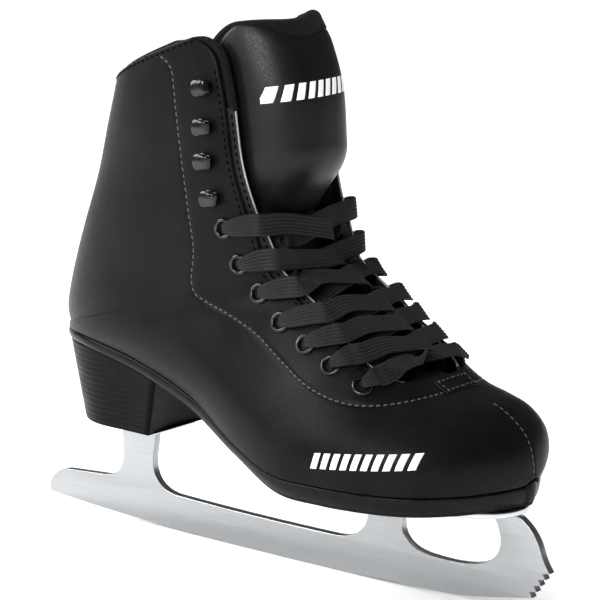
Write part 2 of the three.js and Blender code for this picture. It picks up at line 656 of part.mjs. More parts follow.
// Down through the eyelet from the outside: over the flange, into the bore, out inside.
function throughEyelet(k, side, flip) {
  const { u, v } = eyeletPlaces[k];
  const out = outward(u, v, side);
  const centre = bare(u, v, side);
  const gapward = bare(u, v + 0.01, side).sub(centre).normalize();
  const at = (across, height, face, width) => ({
    point: centre.clone().addScaledVector(gapward, across).addScaledVector(out, height),
    face: face.clone().multiplyScalar(flip),
    width,
  });
  const away = gapward.clone().negate();
  const slant = out.clone().add(away).normalize();
  const under = away.clone().sub(out).normalize();
  return [
    at(6, 2.6, out, 6.4),
    at(2.2, 2.5, out, 4.6),
    at(0.5, 1.6, slant, 3.6),
    at(0, 0, away, 3.4),
    at(0, -3, away, 3.4),
    at(0.2, -6.2, under, 3.4),
    at(2.6, -8, out.clone().negate(), 4.6),
  ];
}

// The lace from the bar across the first pair of eyelets up to the top pair, starting on one side.
function laceSide(start) {
  let side = start;
  let flip = 1;
  const route = [overGap(eyeletPlaces[0].u, side, 0.5, 4.5)];
  route.push(overLeather(eyeletPlaces[0].u, side, 5, 1.6), overLeather(eyeletPlaces[0].u, side, 0, 2));
  route.push(...throughEyelet(0, side, flip));
  for (let k = 0; k < EYELETS.length - 1; k += 1) {
    const [u, next] = [eyeletPlaces[k].u, eyeletPlaces[k + 1].u];
    flip = -flip;
    const over = side > 0 ? 5.2 : 3.4; // strands towards the outer side pass on top
    const mix = (f) => u + (next - u) * f;
    const strand = [
      overLeather(mix(0.14), side, -5, -8),
      overLeather(mix(0.22), side, 1, -8),
      overLeather(mix(0.29), side, 6.5, -6),
      overGap(mix(0.38), side, 0.6, 0),
      overGap(mix(0.48), side, 0.36, over - 0.8),
      overGap(mix(0.62), side, 0, over),
      overGap(mix(0.8), -side, 0.5, over + 0.4),
      overLeather(mix(0.95), -side, 5, 1),
      overLeather(next, -side, 0, 2),
    ];
    for (const place of strand) place.face.multiplyScalar(flip);
    side = -side;
    route.push(...strand, ...throughEyelet(k + 1, side, flip));
  }
  const top = eyeletPlaces[EYELETS.length - 1].u;
  const tail = [[0.5, -16, 8.5], [1.6, -24, 9], [2.6, -28, 9.5], [3.4, -30, 10]]; // down inside the boot
  for (const [below, past, depth] of tail) {
    const place = overLeather(top + below, side, past, -depth);
    place.face.multiplyScalar(-flip);
    route.push(place);
  }
  return route;
}

// A flat strip swept along the route.
function strip(route, thickness) {
  const rings = route.map((place, i) => {
    const along = route[Math.min(i + 1, route.length - 1)].point.clone().sub(route[Math.max(i - 1, 0)].point);
    along.normalize();
    const face = place.face.clone().addScaledVector(along, -place.face.dot(along)).normalize();
    const across = new THREE.Vector3().crossVectors(along, face).multiplyScalar(place.width / 2);
    const up = face.multiplyScalar(thickness / 2);
    return [[1, 1], [-1, 1], [-1, -1], [1, -1]].map(([a, b]) =>
      place.point.clone().addScaledVector(across, a).addScaledVector(up, b));
  });
  return throughRings(rings);
}

function lace() {
  const outer = laceSide(-1);
  const inner = laceSide(1);
  for (const place of inner) place.face.negate();
  return strip([...inner.reverse(), ...outer], LACE_THICKNESS);
}

// The hard tip on one end of the lace, in line with the lace's last stretch.
function aglet(start) {
  const [before, end] = laceSide(start).slice(-2).map((place) => place.point);
  const along = end.clone().sub(before).normalize();
  const tip = bar(AGLET_DIAMETER, GAP, AGLET_LENGTH);
  const turn = new THREE.Quaternion().setFromUnitVectors(new THREE.Vector3(0, 0, 1), along);
  return tip.applyQuaternion(turn).translate(end.x, end.y, end.z);
}

add('lace', lace(), 'lace');
for (const { side, label } of SIDES) add(`aglet_${label}`, aglet(side), 'plastic');

// ---- Blade --------------------------------------------------------------------------------

const TOE_START = 98; // from here to the tip the edge climbs faster than the rocker
const FLAT = 10; // half length of the flat where the edge rests

const rocker = (x) => Math.max(x * x - FLAT * FLAT, 0) / (2 * ROCKER);

function bladeOutline() {
  const [heelTop, soleTop] = [HEEL_BOTTOM - PLATE - 2 * GAP, SOLE_BOTTOM - PLATE - 2 * GAP];
  const outline = new THREE.Shape();
  outline.moveTo(-141.6, rocker(-141.6));
  outline.quadraticCurveTo(-143.5, 8, -140, 12.5);
  outline.quadraticCurveTo(-135.5, 17.6, -129, 18);
  outline.lineTo(-104, 19.6);
  outline.quadraticCurveTo(-92.4, 21, -92.4, 33);
  outline.lineTo(-93, heelTop);
  outline.lineTo(-71.5, heelTop);
  outline.quadraticCurveTo(-72, 40, -73.4, 34);
  outline.quadraticCurveTo(-75, 19, -59, 17.3);
  outline.quadraticCurveTo(-10, 15.6, 34, 16.1);
  outline.quadraticCurveTo(48, 16.8, 51, 27);
  outline.lineTo(55, soleTop);
  outline.lineTo(68.5, soleTop);
  outline.lineTo(69, 28);
  outline.quadraticCurveTo(69.5, 18, 84, 16.8);
  outline.quadraticCurveTo(121, 14, 118.5, 32);
  outline.quadraticCurveTo(117, 38, 114, soleTop);
  outline.lineTo(127.5, soleTop);
  outline.quadraticCurveTo(135.5, 37, 138.2, 28.5);
  outline.quadraticCurveTo(139.8, 23.8, DRAG_PICK[0], DRAG_PICK[1]);
  toePicks(outline);
  outline.quadraticCurveTo(115, 4.6, TOE_START, rocker(TOE_START));
  for (const x of [...spread(TOE_START, FLAT, 5).slice(1), ...spread(-FLAT, -141.6, 7).slice(0, -1)]) {
    outline.lineTo(x, rocker(x));
  }
  return outline;
}

// Teeth from the drag pick down to the edge, each with a short flat front and a notch above.
function toePicks(outline) {
  for (let i = 1; i <= SMALL_PICKS; i += 1) {
    const f = i / SMALL_PICKS;
    const x = DRAG_PICK[0] + (LAST_PICK[0] - DRAG_PICK[0]) * f;
    const z = DRAG_PICK[1] + (LAST_PICK[1] - DRAG_PICK[1]) * f;
    outline.lineTo(x - 1.5, z + 2.3);
    outline.lineTo(x, z);
  }
}

function blade() {
  const options = { depth: BLADE_THICKNESS, bevelEnabled: false, curveSegments: 5 };
  const solid = new THREE.ExtrudeGeometry(bladeOutline(), options);
  return solid.rotateX(Math.PI / 2).translate(0, BLADE_THICKNESS / 2, 0);
}

// A flat plate under the boot with its screw holes.
function plate(outline, top, screws) {
  const shape = new THREE.Shape(outline.getPoints(4));
  const solid = new THREE.ExtrudeGeometry(shape, { depth: PLATE, bevelEnabled: false });
  solid.translate(0, 0, top - PLATE);
  return cut(solid, screwHoles(screws, top, SOLE_SCREW_LENGTH));
}

function solePlateOutline() {
  const outline = new THREE.Shape();
  outline.moveTo(42, -17);
  outline.quadraticCurveTo(43, -30, 55, -30);
  outline.quadraticCurveTo(72, -27, 86, -31);
  outline.quadraticCurveTo(97, -30, 105, -20);
  outline.quadraticCurveTo(127, -15, 127.5, 2);
  outline.quadraticCurveTo(126, 18, 107, 21);
  outline.quadraticCurveTo(97, 27, 86, 26);
  outline.quadraticCurveTo(72, 22, 55, 24);
  outline.quadraticCurveTo(43, 24, 42, 12);
  outline.closePath();
  return outline;
}

function heelPlateOutline() {
  const outline = new THREE.Shape();
  outline.moveTo(-61, -14);
  outline.lineTo(-61, 14);
  outline.quadraticCurveTo(-75, 14, -90, 12.5);
  outline.quadraticCurveTo(-104, 11, -104, 0);
  outline.quadraticCurveTo(-104, -11, -90, -12.5);
  outline.quadraticCurveTo(-75, -14, -61, -14);
  return outline;
}

// A pan-head screw driven up through its plate.
function screw(length) {
  const [shank, head, low] = [SCREW_DIAMETER / 2, SCREW_HEAD / 2, -SCREW_HEAD_HEIGHT];
  const under = [[0, low], [head * 0.8, low * 0.8], [head, 0]];
  return turned([...under, [shank, 0], [shank, length - 1], [0, length]], 8);
}

add('blade_runner', blade(), 'steel');
add('sole_plate', plate(solePlateOutline(), SOLE_BOTTOM - GAP, SOLE_SCREWS), 'steel');
add('heel_plate', plate(heelPlateOutline(), HEEL_BOTTOM - GAP, HEEL_SCREWS), 'steel');

function addScrews(label, places, length, face) {
  places.forEach(([x, y], i) => {
    const mesh = add(`${label}_screw_${i + 1}`, screw(length), 'steel');
    mesh.position.set(x, y, face - PLATE - 2 * GAP);
  });
}

addScrews('sole', SOLE_SCREWS, SOLE_SCREW_LENGTH, SOLE_BOTTOM);
addScrews('heel', HEEL_SCREWS, HEEL_SCREW_LENGTH, HEEL_BOTTOM);

export default skate;
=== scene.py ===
"""Looks of the figure skate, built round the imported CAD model.  Shapes are worked out in millimetres
in the CAD frame (+X toe, +Y inner side of the foot, +Z up) and made as meshes in metres."""

import math

import bmesh
import bpy
import numpy as np
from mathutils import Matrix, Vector


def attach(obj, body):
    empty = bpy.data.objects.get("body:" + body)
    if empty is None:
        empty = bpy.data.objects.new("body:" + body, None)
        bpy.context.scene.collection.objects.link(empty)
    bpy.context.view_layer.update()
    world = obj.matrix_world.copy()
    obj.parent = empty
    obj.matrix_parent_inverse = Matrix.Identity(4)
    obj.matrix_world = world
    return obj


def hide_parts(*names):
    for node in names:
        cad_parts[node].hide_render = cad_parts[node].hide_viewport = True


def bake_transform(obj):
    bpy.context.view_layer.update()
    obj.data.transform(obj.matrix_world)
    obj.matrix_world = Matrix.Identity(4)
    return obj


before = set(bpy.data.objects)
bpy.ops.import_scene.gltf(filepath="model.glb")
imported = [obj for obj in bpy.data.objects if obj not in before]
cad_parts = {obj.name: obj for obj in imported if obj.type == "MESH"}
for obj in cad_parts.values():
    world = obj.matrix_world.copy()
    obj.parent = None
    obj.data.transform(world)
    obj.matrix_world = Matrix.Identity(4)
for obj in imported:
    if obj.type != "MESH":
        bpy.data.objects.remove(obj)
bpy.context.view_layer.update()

MM = 0.001
BOOT = "boot"

# ---- Camera, floor and light ----

AIM = Vector((0.0125, 0, 0.1181))
CAMERA_AZIMUTH = math.radians(38)
CAMERA_ELEVATION = math.radians(10.8)
CAMERA_DISTANCE = 0.872


def direction(azimuth, elevation):
    """Unit vector at an azimuth from the outer side and an elevation, both in radians."""
    flat = math.cos(elevation)
    return Vector((math.sin(azimuth) * flat, -math.cos(azimuth) * flat, math.sin(elevation)))


def add_camera():
    """The only camera, aimed at AIM from CAMERA_DISTANCE metres away."""
    data = bpy.data.cameras.new("camera")
    data.lens = 120
    data.sensor_width = 36
    camera = bpy.data.objects.new("camera", data)
    bpy.context.scene.collection.objects.link(camera)
    towards = direction(CAMERA_AZIMUTH, CAMERA_ELEVATION)
    camera.location = AIM + CAMERA_DISTANCE * towards
    camera.rotation_euler = (-towards).to_track_quat("-Z", "Y").to_euler()
    bpy.context.scene.camera = camera


def add_light(name, kind, azimuth, elevation, power, distance=1.6):
    """A lamp that shines at the skate from the given azimuth and elevation in degrees."""
    data = bpy.data.lights.new(name, kind)
    data.energy = power
    light = bpy.data.objects.new(name, data)
    bpy.context.scene.collection.objects.link(light)
    towards = direction(math.radians(azimuth), math.radians(elevation))
    light.location = AIM + distance * towards
    light.rotation_euler = (-towards).to_track_quat("-Z", "Y").to_euler()
    return light


def add_softbox(name, azimuth, elevation, distance, size, power):
    """A rectangular area lamp aimed at the skate."""
    light = add_light(name, "AREA", azimuth, elevation, power, distance)
    light.data.shape = "RECTANGLE"
    light.data.size, light.data.size_y = size


def add_overhead():
    """A very soft distant lamp that lights the floor evenly and isn't mirrored in the skate."""
    light = add_light("overhead", "SUN", 215, 62, 4.0)
    light.data.angle = math.radians(80)
    light.visible_glossy = False


def add_world(strength):
    """Even white light from all round."""
    world = bpy.data.worlds.new("studio")
    bpy.context.scene.world = world
    world.use_nodes = True
    background = world.node_tree.nodes["Background"]
    background.inputs["Color"].default_value = (1, 1, 1, 1)
    background.inputs["Strength"].default_value = strength


def add_floor():
    """The large white ground of the studio, which is not a part of the skate."""
    bpy.ops.mesh.primitive_plane_add(size=40)
    floor = bpy.context.object
    floor.name = "floor"
    material = bpy.data.materials.new("floor")
    material.use_nodes = True
    shader = material.node_tree.nodes["Principled BSDF"]
    shader.inputs["Base Color"].default_value = (0.93, 0.93, 0.93, 1)
    shader.inputs["Roughness"].default_value = 0.9
    shader.inputs["Specular IOR Level"].default_value = 0.1
    floor.data.materials.append(material)


add_camera()
add_world(0.12)
add_floor()
add_overhead()
add_softbox("key", -45, 30, 1.6, (1.0, 0.8), 30)
add_softbox("rim", -108, 22, 1.5, (0.2, 0.8), 5)
add_softbox("front", 14, 24, 1.6, (0.6, 0.5), 18)
bpy.context.scene.view_settings.view_transform = "Standard"

# ---- Materials ----


class Paint:
    """A Principled material, and short calls that add nodes to it."""

    def __init__(self, name, color, roughness, metallic=0.0, **sockets):
        self.material = bpy.data.materials.new(name)
        self.material.use_nodes = True
        self.tree = self.material.node_tree
        self.shader = self.tree.nodes["Principled BSDF"]
        self.color = (*color, 1)
        self.set(Base_Color=self.color, Roughness=roughness, Metallic=metallic, **sockets)
        self.place = self.tree.nodes.new("ShaderNodeTexCoord").outputs["Object"]
        self.normal = None

    def put(self, socket, value):
        if isinstance(value, bpy.types.NodeSocket):
            self.tree.links.new(value, socket)
        else:
            socket.default_value = value

    def set(self, **values):
        for name, value in values.items():
            self.put(self.shader.inputs[name.replace("_", " ")], value)

    def node(self, kind, settings=None, **values):
        node = self.tree.nodes.new("ShaderNode" + kind)
        for name, value in (settings or {}).items():
            setattr(node, name, value)
        for name, value in values.items():
            self.put(node.inputs[name.replace("_", " ")], value)
        return node

    def stretched(self, scale, place=None):
        return self.node("Mapping", Vector=place or self.place, Scale=scale).outputs["Vector"]

    def noise(self, scale, detail=2.0, place=None):
        node = self.node("TexNoise", Vector=place or self.place, Scale=scale, Detail=detail)
        return node.outputs["Fac"]

    def cells(self, scale):
        return self.node("TexVoronoi", Vector=self.place, Scale=scale).outputs["Distance"]

    def waves(self, scale, place, axis="X"):
        settings = {"wave_type": "BANDS", "bands_direction": axis, "wave_profile": "SIN"}
        return self.node("TexWave", settings, Vector=place, Scale=scale).outputs["Fac"]

    def math(self, operation, a, b=0.0):
        node = self.node("Math", {"operation": operation})
        self.put(node.inputs[0], a)
        self.put(node.inputs[1], b)
        return node.outputs[0]

    def span(self, value, low, high, to_low, to_high):
        node = self.node("MapRange", From_Min=low, From_Max=high, To_Min=to_low, To_Max=to_high)
        self.put(node.inputs["Value"], value)
        return node.outputs["Result"]

    def bump(self, height, depth_mm, strength=1.0):
        node = self.node("Bump", Height=height, Distance=depth_mm * MM, Strength=strength)
        if self.normal:
            self.put(node.inputs["Normal"], self.normal)
        self.normal = node.outputs["Normal"]
        self.set(Normal=self.normal)

    def tint(self, mask, other):
        """Colour that turns from the material's own to other as mask goes from 0 to 1."""
        node = self.node("Mix", {"data_type": "RGBA"})
        self.put(node.inputs["Factor"], mask)
        self.put(node.inputs[6], self.color)
        self.put(node.inputs[7], (*other, 1))
        self.set(Base_Color=node.outputs[2])


def leather_material(name, color, worn, roughness, gloss=0.07):
    """Satin synthetic leather: pebbled grain, soft waviness and slightly greyer high spots."""
    paint = Paint(name, color, roughness, Specular_IOR_Level=gloss)
    paint.tint(paint.span(paint.noise(55, 4), 0.35, 0.75, 0, 1), worn)
    paint.set(Roughness=paint.span(paint.noise(900, 3), 0.3, 0.7, roughness - 0.06, roughness + 0.08))
    paint.bump(paint.noise(38, 2), 1.0, 0.25)
    paint.bump(paint.cells(1500), 0.12, 0.3)
    paint.bump(paint.noise(3500, 2), 0.04, 0.3)
    return paint.material


DIAGONAL_WAVE = 628  # scale at which diagonal waves come 1 mm apart


def fabric_material(name, color, other, thread=0.9, sheen=0.35):
    """Knitted or woven cloth: two crossed sets of threads thread mm apart."""
    paint = Paint(name, color, 0.95, Sheen_Weight=sheen, Sheen_Roughness=0.5, Specular_IOR_Level=0.08)
    scale = DIAGONAL_WAVE / thread
    across = paint.waves(scale, paint.place, "DIAGONAL")
    along = paint.waves(scale, paint.stretched((1, -1, 1)), "DIAGONAL")
    weave = paint.math("MAXIMUM", across, along)
    paint.tint(paint.span(paint.noise(700, 3), 0.35, 0.7, 0, 1), other)
    paint.bump(weave, 0.35, 0.9)
    paint.bump(paint.noise(2500, 3), 0.25, 0.8)
    return paint.material


def lace_material():
    """Flat woven lace.  Its UV map runs along the lace in mm and across it in ribs."""
    paint = Paint("lace_weave", (0.009, 0.009, 0.0095), 0.6, Sheen_Weight=0.03, Specular_IOR_Level=0.2)
    woven = paint.node("UVMap", {"uv_map": "weave"}).outputs["UV"]
    forward = paint.waves(0.42, woven, "DIAGONAL")
    back = paint.waves(0.42, paint.stretched((1, -1, 1), woven), "DIAGONAL")
    weave = paint.math("MAXIMUM", forward, back)
    ribs = paint.node("UVMap", {"uv_map": "ribs"}).outputs["UV"]
    groove = paint.waves(0.3142, ribs, "Y")
    # Painted shade: the lace is darker in the grooves between its ribs and in the low parts of its weave.
    painted_shade = paint.math("MAXIMUM", paint.span(groove, 0.4, 0.05, 0, 1), paint.span(weave, 0.3, 1.0, 0.5, 0))
    paint.tint(painted_shade, (0.0015, 0.0015, 0.0016))
    paint.bump(weave, 0.22, 0.8)
    paint.bump(paint.noise(3500, 2), 0.08, 0.5)
    return paint.material


def thread_material(name, color, gloss):
    """Twisted sewing thread, with painted shade between its strands."""
    paint = Paint(name, color, 0.6, Specular_IOR_Level=gloss)
    twist = paint.waves(1250, paint.place, "DIAGONAL")
    # Painted shade: darker where the twist's bands run low, between the strands.
    paint.tint(paint.span(twist, 0.2, 0.9, 1, 0), tuple(c * 0.45 for c in color))
    paint.bump(twist, 0.08, 0.6)
    return paint.material


def steel_material(name, color, roughness, stretch):
    """Ground steel with fine lines along the axis that stretch leaves smallest."""
    paint = Paint(name, color, roughness, 1.0)
    lines = paint.noise(1.0, 3, paint.stretched(stretch))
    cloud = paint.noise(26, 3)
    ground = paint.span(lines, 0.3, 0.7, roughness - 0.05, roughness + 0.06)
    paint.set(Roughness=paint.math("ADD", ground, paint.span(cloud, 0.3, 0.7, -0.02, 0.05)))
    paint.tint(paint.span(lines, 0.3, 0.75, 0, 1), tuple(c * 0.86 for c in color))
    paint.bump(lines, 0.012, 0.5)
    return paint.material


def moulded_material(name, color, roughness, depth=0.05, gloss=0.1):
    """Moulded rubber or plastic with a fine spark texture and rubbed high spots."""
    paint = Paint(name, color, roughness, Specular_IOR_Level=gloss)
    scuffs = paint.noise(160, 5)
    paint.tint(paint.span(scuffs, 0.5, 0.8, 0, 1), tuple(c * 1.6 + 0.002 for c in color))
    paint.set(Roughness=paint.span(scuffs, 0.3, 0.7, roughness - 0.05, roughness + 0.1))
    paint.bump(paint.noise(2600, 2), depth, 0.5)
    return paint.material


def enamel_material():
    """Black enamel of the eyelets and hooks, duller where it is worn."""
    gloss = {"Specular_IOR_Level": 0.3, "Coat_Weight": 0.2, "Coat_Roughness": 0.06}
    paint = Paint("black_enamel", (0.003, 0.003, 0.0035), 0.16, **gloss)
    worn = paint.noise(300, 4)
    paint.set(Roughness=paint.span(worn, 0.3, 0.75, 0.12, 0.3))
    paint.tint(paint.span(worn, 0.62, 0.8, 0, 1), (0.012, 0.012, 0.013))
    paint.bump(paint.noise(700, 2), 0.04, 0.3)
    return paint.material


def board_material(name, color, other):
    """Fibre board, its fibres running lengthways."""
    paint = Paint(name, color, 0.85)
    fibres = paint.noise(1.0, 4, paint.stretched((300, 1500, 1500)))
    paint.tint(paint.span(fibres, 0.35, 0.7, 0, 1), other)
    paint.bump(fibres, 0.15, 0.5)
    return paint.material


def print_material():
    """White heat-transferred print, slightly cracked at its thin spots."""
    paint = Paint("white_print", (0.86, 0.86, 0.86), 0.5)
    paint.tint(paint.span(paint.noise(900, 4), 0.62, 0.75, 0, 1), (0.6, 0.6, 0.6))
    paint.bump(paint.cells(1500), 0.04, 0.4)
    return paint.material


LEATHER = leather_material("satin_leather", (0.003, 0.003, 0.0033), (0.0055, 0.0055, 0.006), 0.36)
TONGUE_LEATHER = leather_material(
    "tongue_leather", (0.0035, 0.0035, 0.0038), (0.006, 0.006, 0.0065), 0.37, 0.2)
STRIP = leather_material("edge_strip", (0.012, 0.012, 0.013), (0.02, 0.02, 0.021), 0.5)
# Painted highlight: the light grey of the eyestay's edge line stands for light caught on its folded edge.
EDGE_HIGHLIGHT = leather_material("painted_edge_highlight", (0.24, 0.24, 0.245), (0.36, 0.36, 0.365), 0.6)
PADDED = fabric_material("padded_knit", (0.003, 0.003, 0.0033), (0.008, 0.008, 0.0085), 0.9, 0.03)
LINING = fabric_material("woven_lining", (0.008, 0.008, 0.009), (0.016, 0.016, 0.018), 1.0, 0.1)
LACE = lace_material()
THREAD = thread_material("light_thread", (0.07, 0.07, 0.072), 0.5)
DARK_THREAD = thread_material("dark_thread", (0.0015, 0.0015, 0.0016), 0.03)
SOLE = moulded_material("moulded_sole", (0.003, 0.003, 0.0033), 0.28)
HEEL = moulded_material("stacked_heel", (0.0025, 0.0025, 0.0028), 0.38, gloss=0.05)
BLADE_STEEL = steel_material("blade_steel", (0.4, 0.41, 0.42), 0.3, (45, 45, 5200))
PLATE_STEEL = steel_material("plate_steel", (0.58, 0.59, 0.6), 0.3, (60, 2600, 2600))
ENAMEL = enamel_material()
PRINT = print_material()
BOARD = board_material("fibre_board", (0.34, 0.27, 0.18), (0.24, 0.18, 0.12))
STIFFENER = moulded_material("stiffener_plastic", (0.16, 0.16, 0.17), 0.6, 0.12)
TIP = moulded_material("lace_tip_plastic", (0.014, 0.014, 0.015), 0.2, 0.02)

# ---- The boot's surface ----

GAP = 0.3  # left between neighbouring pieces
LEATHER_THICK = 2.2
STIFFENER_THICK = 1.5
LINING_THICK = 1.2
STIFFENER_DEPTH = LEATHER_THICK + GAP
LINING_DEPTH = STIFFENER_DEPTH + STIFFENER_THICK + GAP
PAD_DEPTH = LEATHER_THICK + 3 * GAP
PAD_THICK = 3.5
FACING_WIDTH = 22  # from the lacing edge to the facing's stitches
FACING_BEND, FACING_END = 11.2, 14.15  # stations where those stitches turn in, and where they meet
STRIP_REACH = 3.5  # how far the eyestay shows past the lacing edge
THROAT_BEND, THROAT_END = 12.2, 13.35  # stations where the lacing gap starts to close, and is closed
WIDEST_AT = 0.45  # v of a section's widest point
FRONT_ARC = 136  # mm of the leg's surface for one unit of v near its front
COLLAR_CORNER = 16  # radius of the collar's front corners
ROLL_END = 1.12  # station where the collar's roll ends below its front corners
TOE = 20.0  # last station

# back X, back Z, front X, front Z, half width, widest at, seat, full, back Y, front Y, gap, sole
STATIONS = np.array([
    [-81, 210, 13, 243, 39.5, 0.5, 0, 0.3, 0, 0, 35.5, 5],
    [-89, 190, 24, 213, 39.5, 0.5, 0, 0.35, 0, 0, 36, 5],
    [-97, 167, 27, 183, 38.5, 0.5, 0, 0.5, 0, 0, 35.7, 5],
    [-107, 143, 31, 165, 38, 0.48, 0, 0.55, 0, 0, 34.3, 5],
    [-115, 121, 37, 154, 37.5, 0.45, 0, 0.55, 0, 0, 32.8, 5],
    [-119, 104, 43, 146, 37, 0.4, 0, 0.5, 0, 0, 31.5, 5],
    [-118, 95.5, 46.5, 142, 36.5, 0.38, 0, 0.5, 0, 0, 31, 5],
    [-116, 95, 49, 139, 36.5, 0.36, 10, 0.5, 0, 0, 30.5, 5],
    [-108, 94, 52, 135.5, 36.5, 0.35, 20, 0.5, 0, 0, 30, 5],
    [-90, 93, 57, 130, 37, 0.35, 27.5, 0.5, 0, 0, 30, 5],
    [-58, 86.5, 63, 123.5, 38, 0.35, 29, 0.45, 0, 0, 30, 5.5],
    [-24, 75.5, 70, 116, 40.5, 0.33, 30, 0.35, -2, 0, 30.5, 6],
    [8, 62, 78, 107, 45, 0.32, 38, 0.25, -4, 1, 30.5, 6],
    [35, 54.5, 86, 98, 48.5, 0.3, 45.5, 0.15, -4.5, 2, 26, 8.6],
    [60, 54, 94, 91.5, 48.8, 0.28, 47.6, 0.12, -4, 3, 0, 9.2],
    [84, 54, 103, 88, 46.5, 0.28, 45.6, 0.12, -3, 4, 0, 9.2],
    [101, 54, 112.5, 85, 40.6, 0.28, 39.6, 0.12, -2, 5, 0, 9.2],
    [114, 54, 121, 79.5, 32, 0.3, 30.5, 0.12, 1, 5.5, 0, 9.2],
    [121.5, 54, 126.5, 73, 22.5, 0.3, 21, 0.12, 3, 6, 0, 9.2],
    [126, 54, 129.3, 65, 12.5, 0.35, 11.5, 0.1, 4.5, 6, 0, 9.2],
    [128.2, 54, 130, 57, 4, 0.5, 3.5, 0, 5.5, 6, 0, 9.2],
])
BACK_X, BACK_Z, FRONT_X, FRONT_Z, HALF, WIDEST, SEAT, FULL, BACK_Y, FRONT_Y, GAP_HALF, SOLE_THICK = range(12)
BACK = [BACK_X, BACK_Y, BACK_Z]
FRONT = [FRONT_X, FRONT_Y, FRONT_Z]
HALVINGS = 40  # steps of a search by halving


def through(a, b, c, d, f):
    """Catmull-Rom curve from b to c at f, with a before them and d after."""
    return b + 0.5 * f * (c - a + f * (2 * a - 5 * b + 4 * c - d + f * (3 * (b - c) + d - a)))


def station(u):
    """Values at station u: a smooth curve through the rows above, straight beyond both ends."""
    u = np.asarray(u, float)
    last = len(STATIONS) - 1
    i = np.clip(np.floor(u).astype(int), 0, last - 1)
    f = (u - i)[..., None]
    b, c = STATIONS[i], STATIONS[i + 1]
    a = np.where((i > 0)[..., None], STATIONS[np.maximum(i - 1, 0)], 2 * b - c)
    d = np.where((i + 2 <= last)[..., None], STATIONS[np.minimum(i + 2, last)], 2 * c - b)
    values = np.where((f < 0) | (f > 1), b + (c - b) * f, through(a, b, c, d, f))
    values[..., SEAT] = np.maximum(values[..., SEAT], 0)
    return values


def profile(s, v):
    """Share of the way from back to front, and distance out to the side, at v round the section."""
    rear = v < WIDEST_AT
    angle = (math.pi / 2) * np.where(rear, v / WIDEST_AT, (v - WIDEST_AT) / (1 - WIDEST_AT))
    sine, cosine = np.sin(angle), np.cos(angle)
    half, seat, widest = s[..., HALF], s[..., SEAT], s[..., WIDEST]
    behind = np.sqrt(seat**2 + (half**2 - seat**2) * sine**2)
    ahead = half * cosine * (1 + s[..., FULL] * sine**2)
    share = np.where(rear, widest * (1 - cosine), widest + (1 - widest) * sine)
    return share, np.where(rear, behind, ahead)


def bare(u, v, side):
    """Point of the boot's outer face at station u, v of the way from back to front, without skin depth."""
    u, v = np.broadcast_arrays(np.asarray(u, float), np.asarray(v, float))
    s = station(u)
    share, out = profile(s, v)
    point = s[..., BACK] + (s[..., FRONT] - s[..., BACK]) * share[..., None]
    point[..., 1] += side * out
    return point


def unit(vectors):
    """The vectors at length 1."""
    return vectors / np.maximum(np.linalg.norm(vectors, axis=-1, keepdims=True), 1e-9)


def outward(u, v, side, step=0.01):
    """Unit vector out of the boot's surface at (u, v) on one side."""
    u, v = np.broadcast_arrays(np.asarray(u, float), np.asarray(v, float))
    along = bare(u + step, v, side) - bare(u - step, v, side)
    low, high = np.maximum(v - step, 0.001), np.minimum(v + step, 0.999)
    across = bare(u, high, side) - bare(u, low, side)
    return unit(np.cross(across, along) * side)


def skin(u, v, side, depth=0.0):
    """Point depth mm inside the boot's surface, never across the boot's middle."""
    u, v = np.broadcast_arrays(np.asarray(u, float), np.asarray(v, float))
    point = bare(u, v, side) - outward(u, v, side) * np.asarray(depth)[..., None]
    s = station(u)
    share = profile(s, v)[0]
    middle = s[..., BACK_Y] + (s[..., FRONT_Y] - s[..., BACK_Y]) * share
    off = np.maximum(side * (point[..., 1] - middle), 0.03)
    point[..., 1] = middle + side * off
    return point


def gap_half(u):
    """Half of the opening between the facings at station u, closing round THROAT_END."""
    gap = station(np.minimum(u, THROAT_BEND))[..., GAP_HALF]
    past = np.clip((u - THROAT_BEND) / (THROAT_END - THROAT_BEND), 0, 1)
    return gap * np.sqrt(1 - past**2)


def front_at(u, out):
    """v, on the front part of the section, where the surface is out mm from the middle."""
    s = station(u)
    low, high = np.full_like(out, WIDEST_AT), np.ones_like(out)
    for _ in range(HALVINGS):
        middle = (low + high) / 2
        wide = profile(s, middle)[1] > out
        low, high = np.where(wide, middle, low), np.where(wide, high, middle)
    return low


# Millimetres for one station at the collar.
COLLAR_STEP = float(np.linalg.norm(bare(0, 0.9, -1) - bare(1, 0.9, -1)))


def edge_at(u):
    """v of the leather's edge at the lacing, with the collar's rounded front corner."""
    u = np.asarray(u, float)
    below = np.maximum(0, u) * COLLAR_STEP
    cut = COLLAR_CORNER - np.minimum(below, COLLAR_CORNER)
    corner = COLLAR_CORNER - np.sqrt(COLLAR_CORNER**2 - cut**2)
    return front_at(u, gap_half(u)) - corner / FRONT_ARC


def locate(x, z, first=0.0):
    """Station, from first on, and way round of the surface point seen at (x, z) from the side."""
    low, high = first, TOE
    for _ in range(HALVINGS):
        middle = (low + high) / 2
        s = station(middle)
        run, rise = s[FRONT_X] - s[BACK_X], s[FRONT_Z] - s[BACK_Z]
        if run * (z - s[BACK_Z]) - rise * (x - s[BACK_X]) > 0:
            high = middle
        else:
            low = middle
    s = station(low)
    length = math.hypot(s[FRONT_X] - s[BACK_X], s[FRONT_Z] - s[BACK_Z])
    share = math.hypot(x - s[BACK_X], z - s[BACK_Z]) / length
    if share < s[WIDEST]:
        return low, WIDEST_AT * math.acos(1 - share / s[WIDEST]) / (math.pi / 2)
    share = min((share - s[WIDEST]) / (1 - s[WIDEST]), 1)
    return low, WIDEST_AT + (1 - WIDEST_AT) * math.asin(share) / (math.pi / 2)


# ---- Making meshes ----


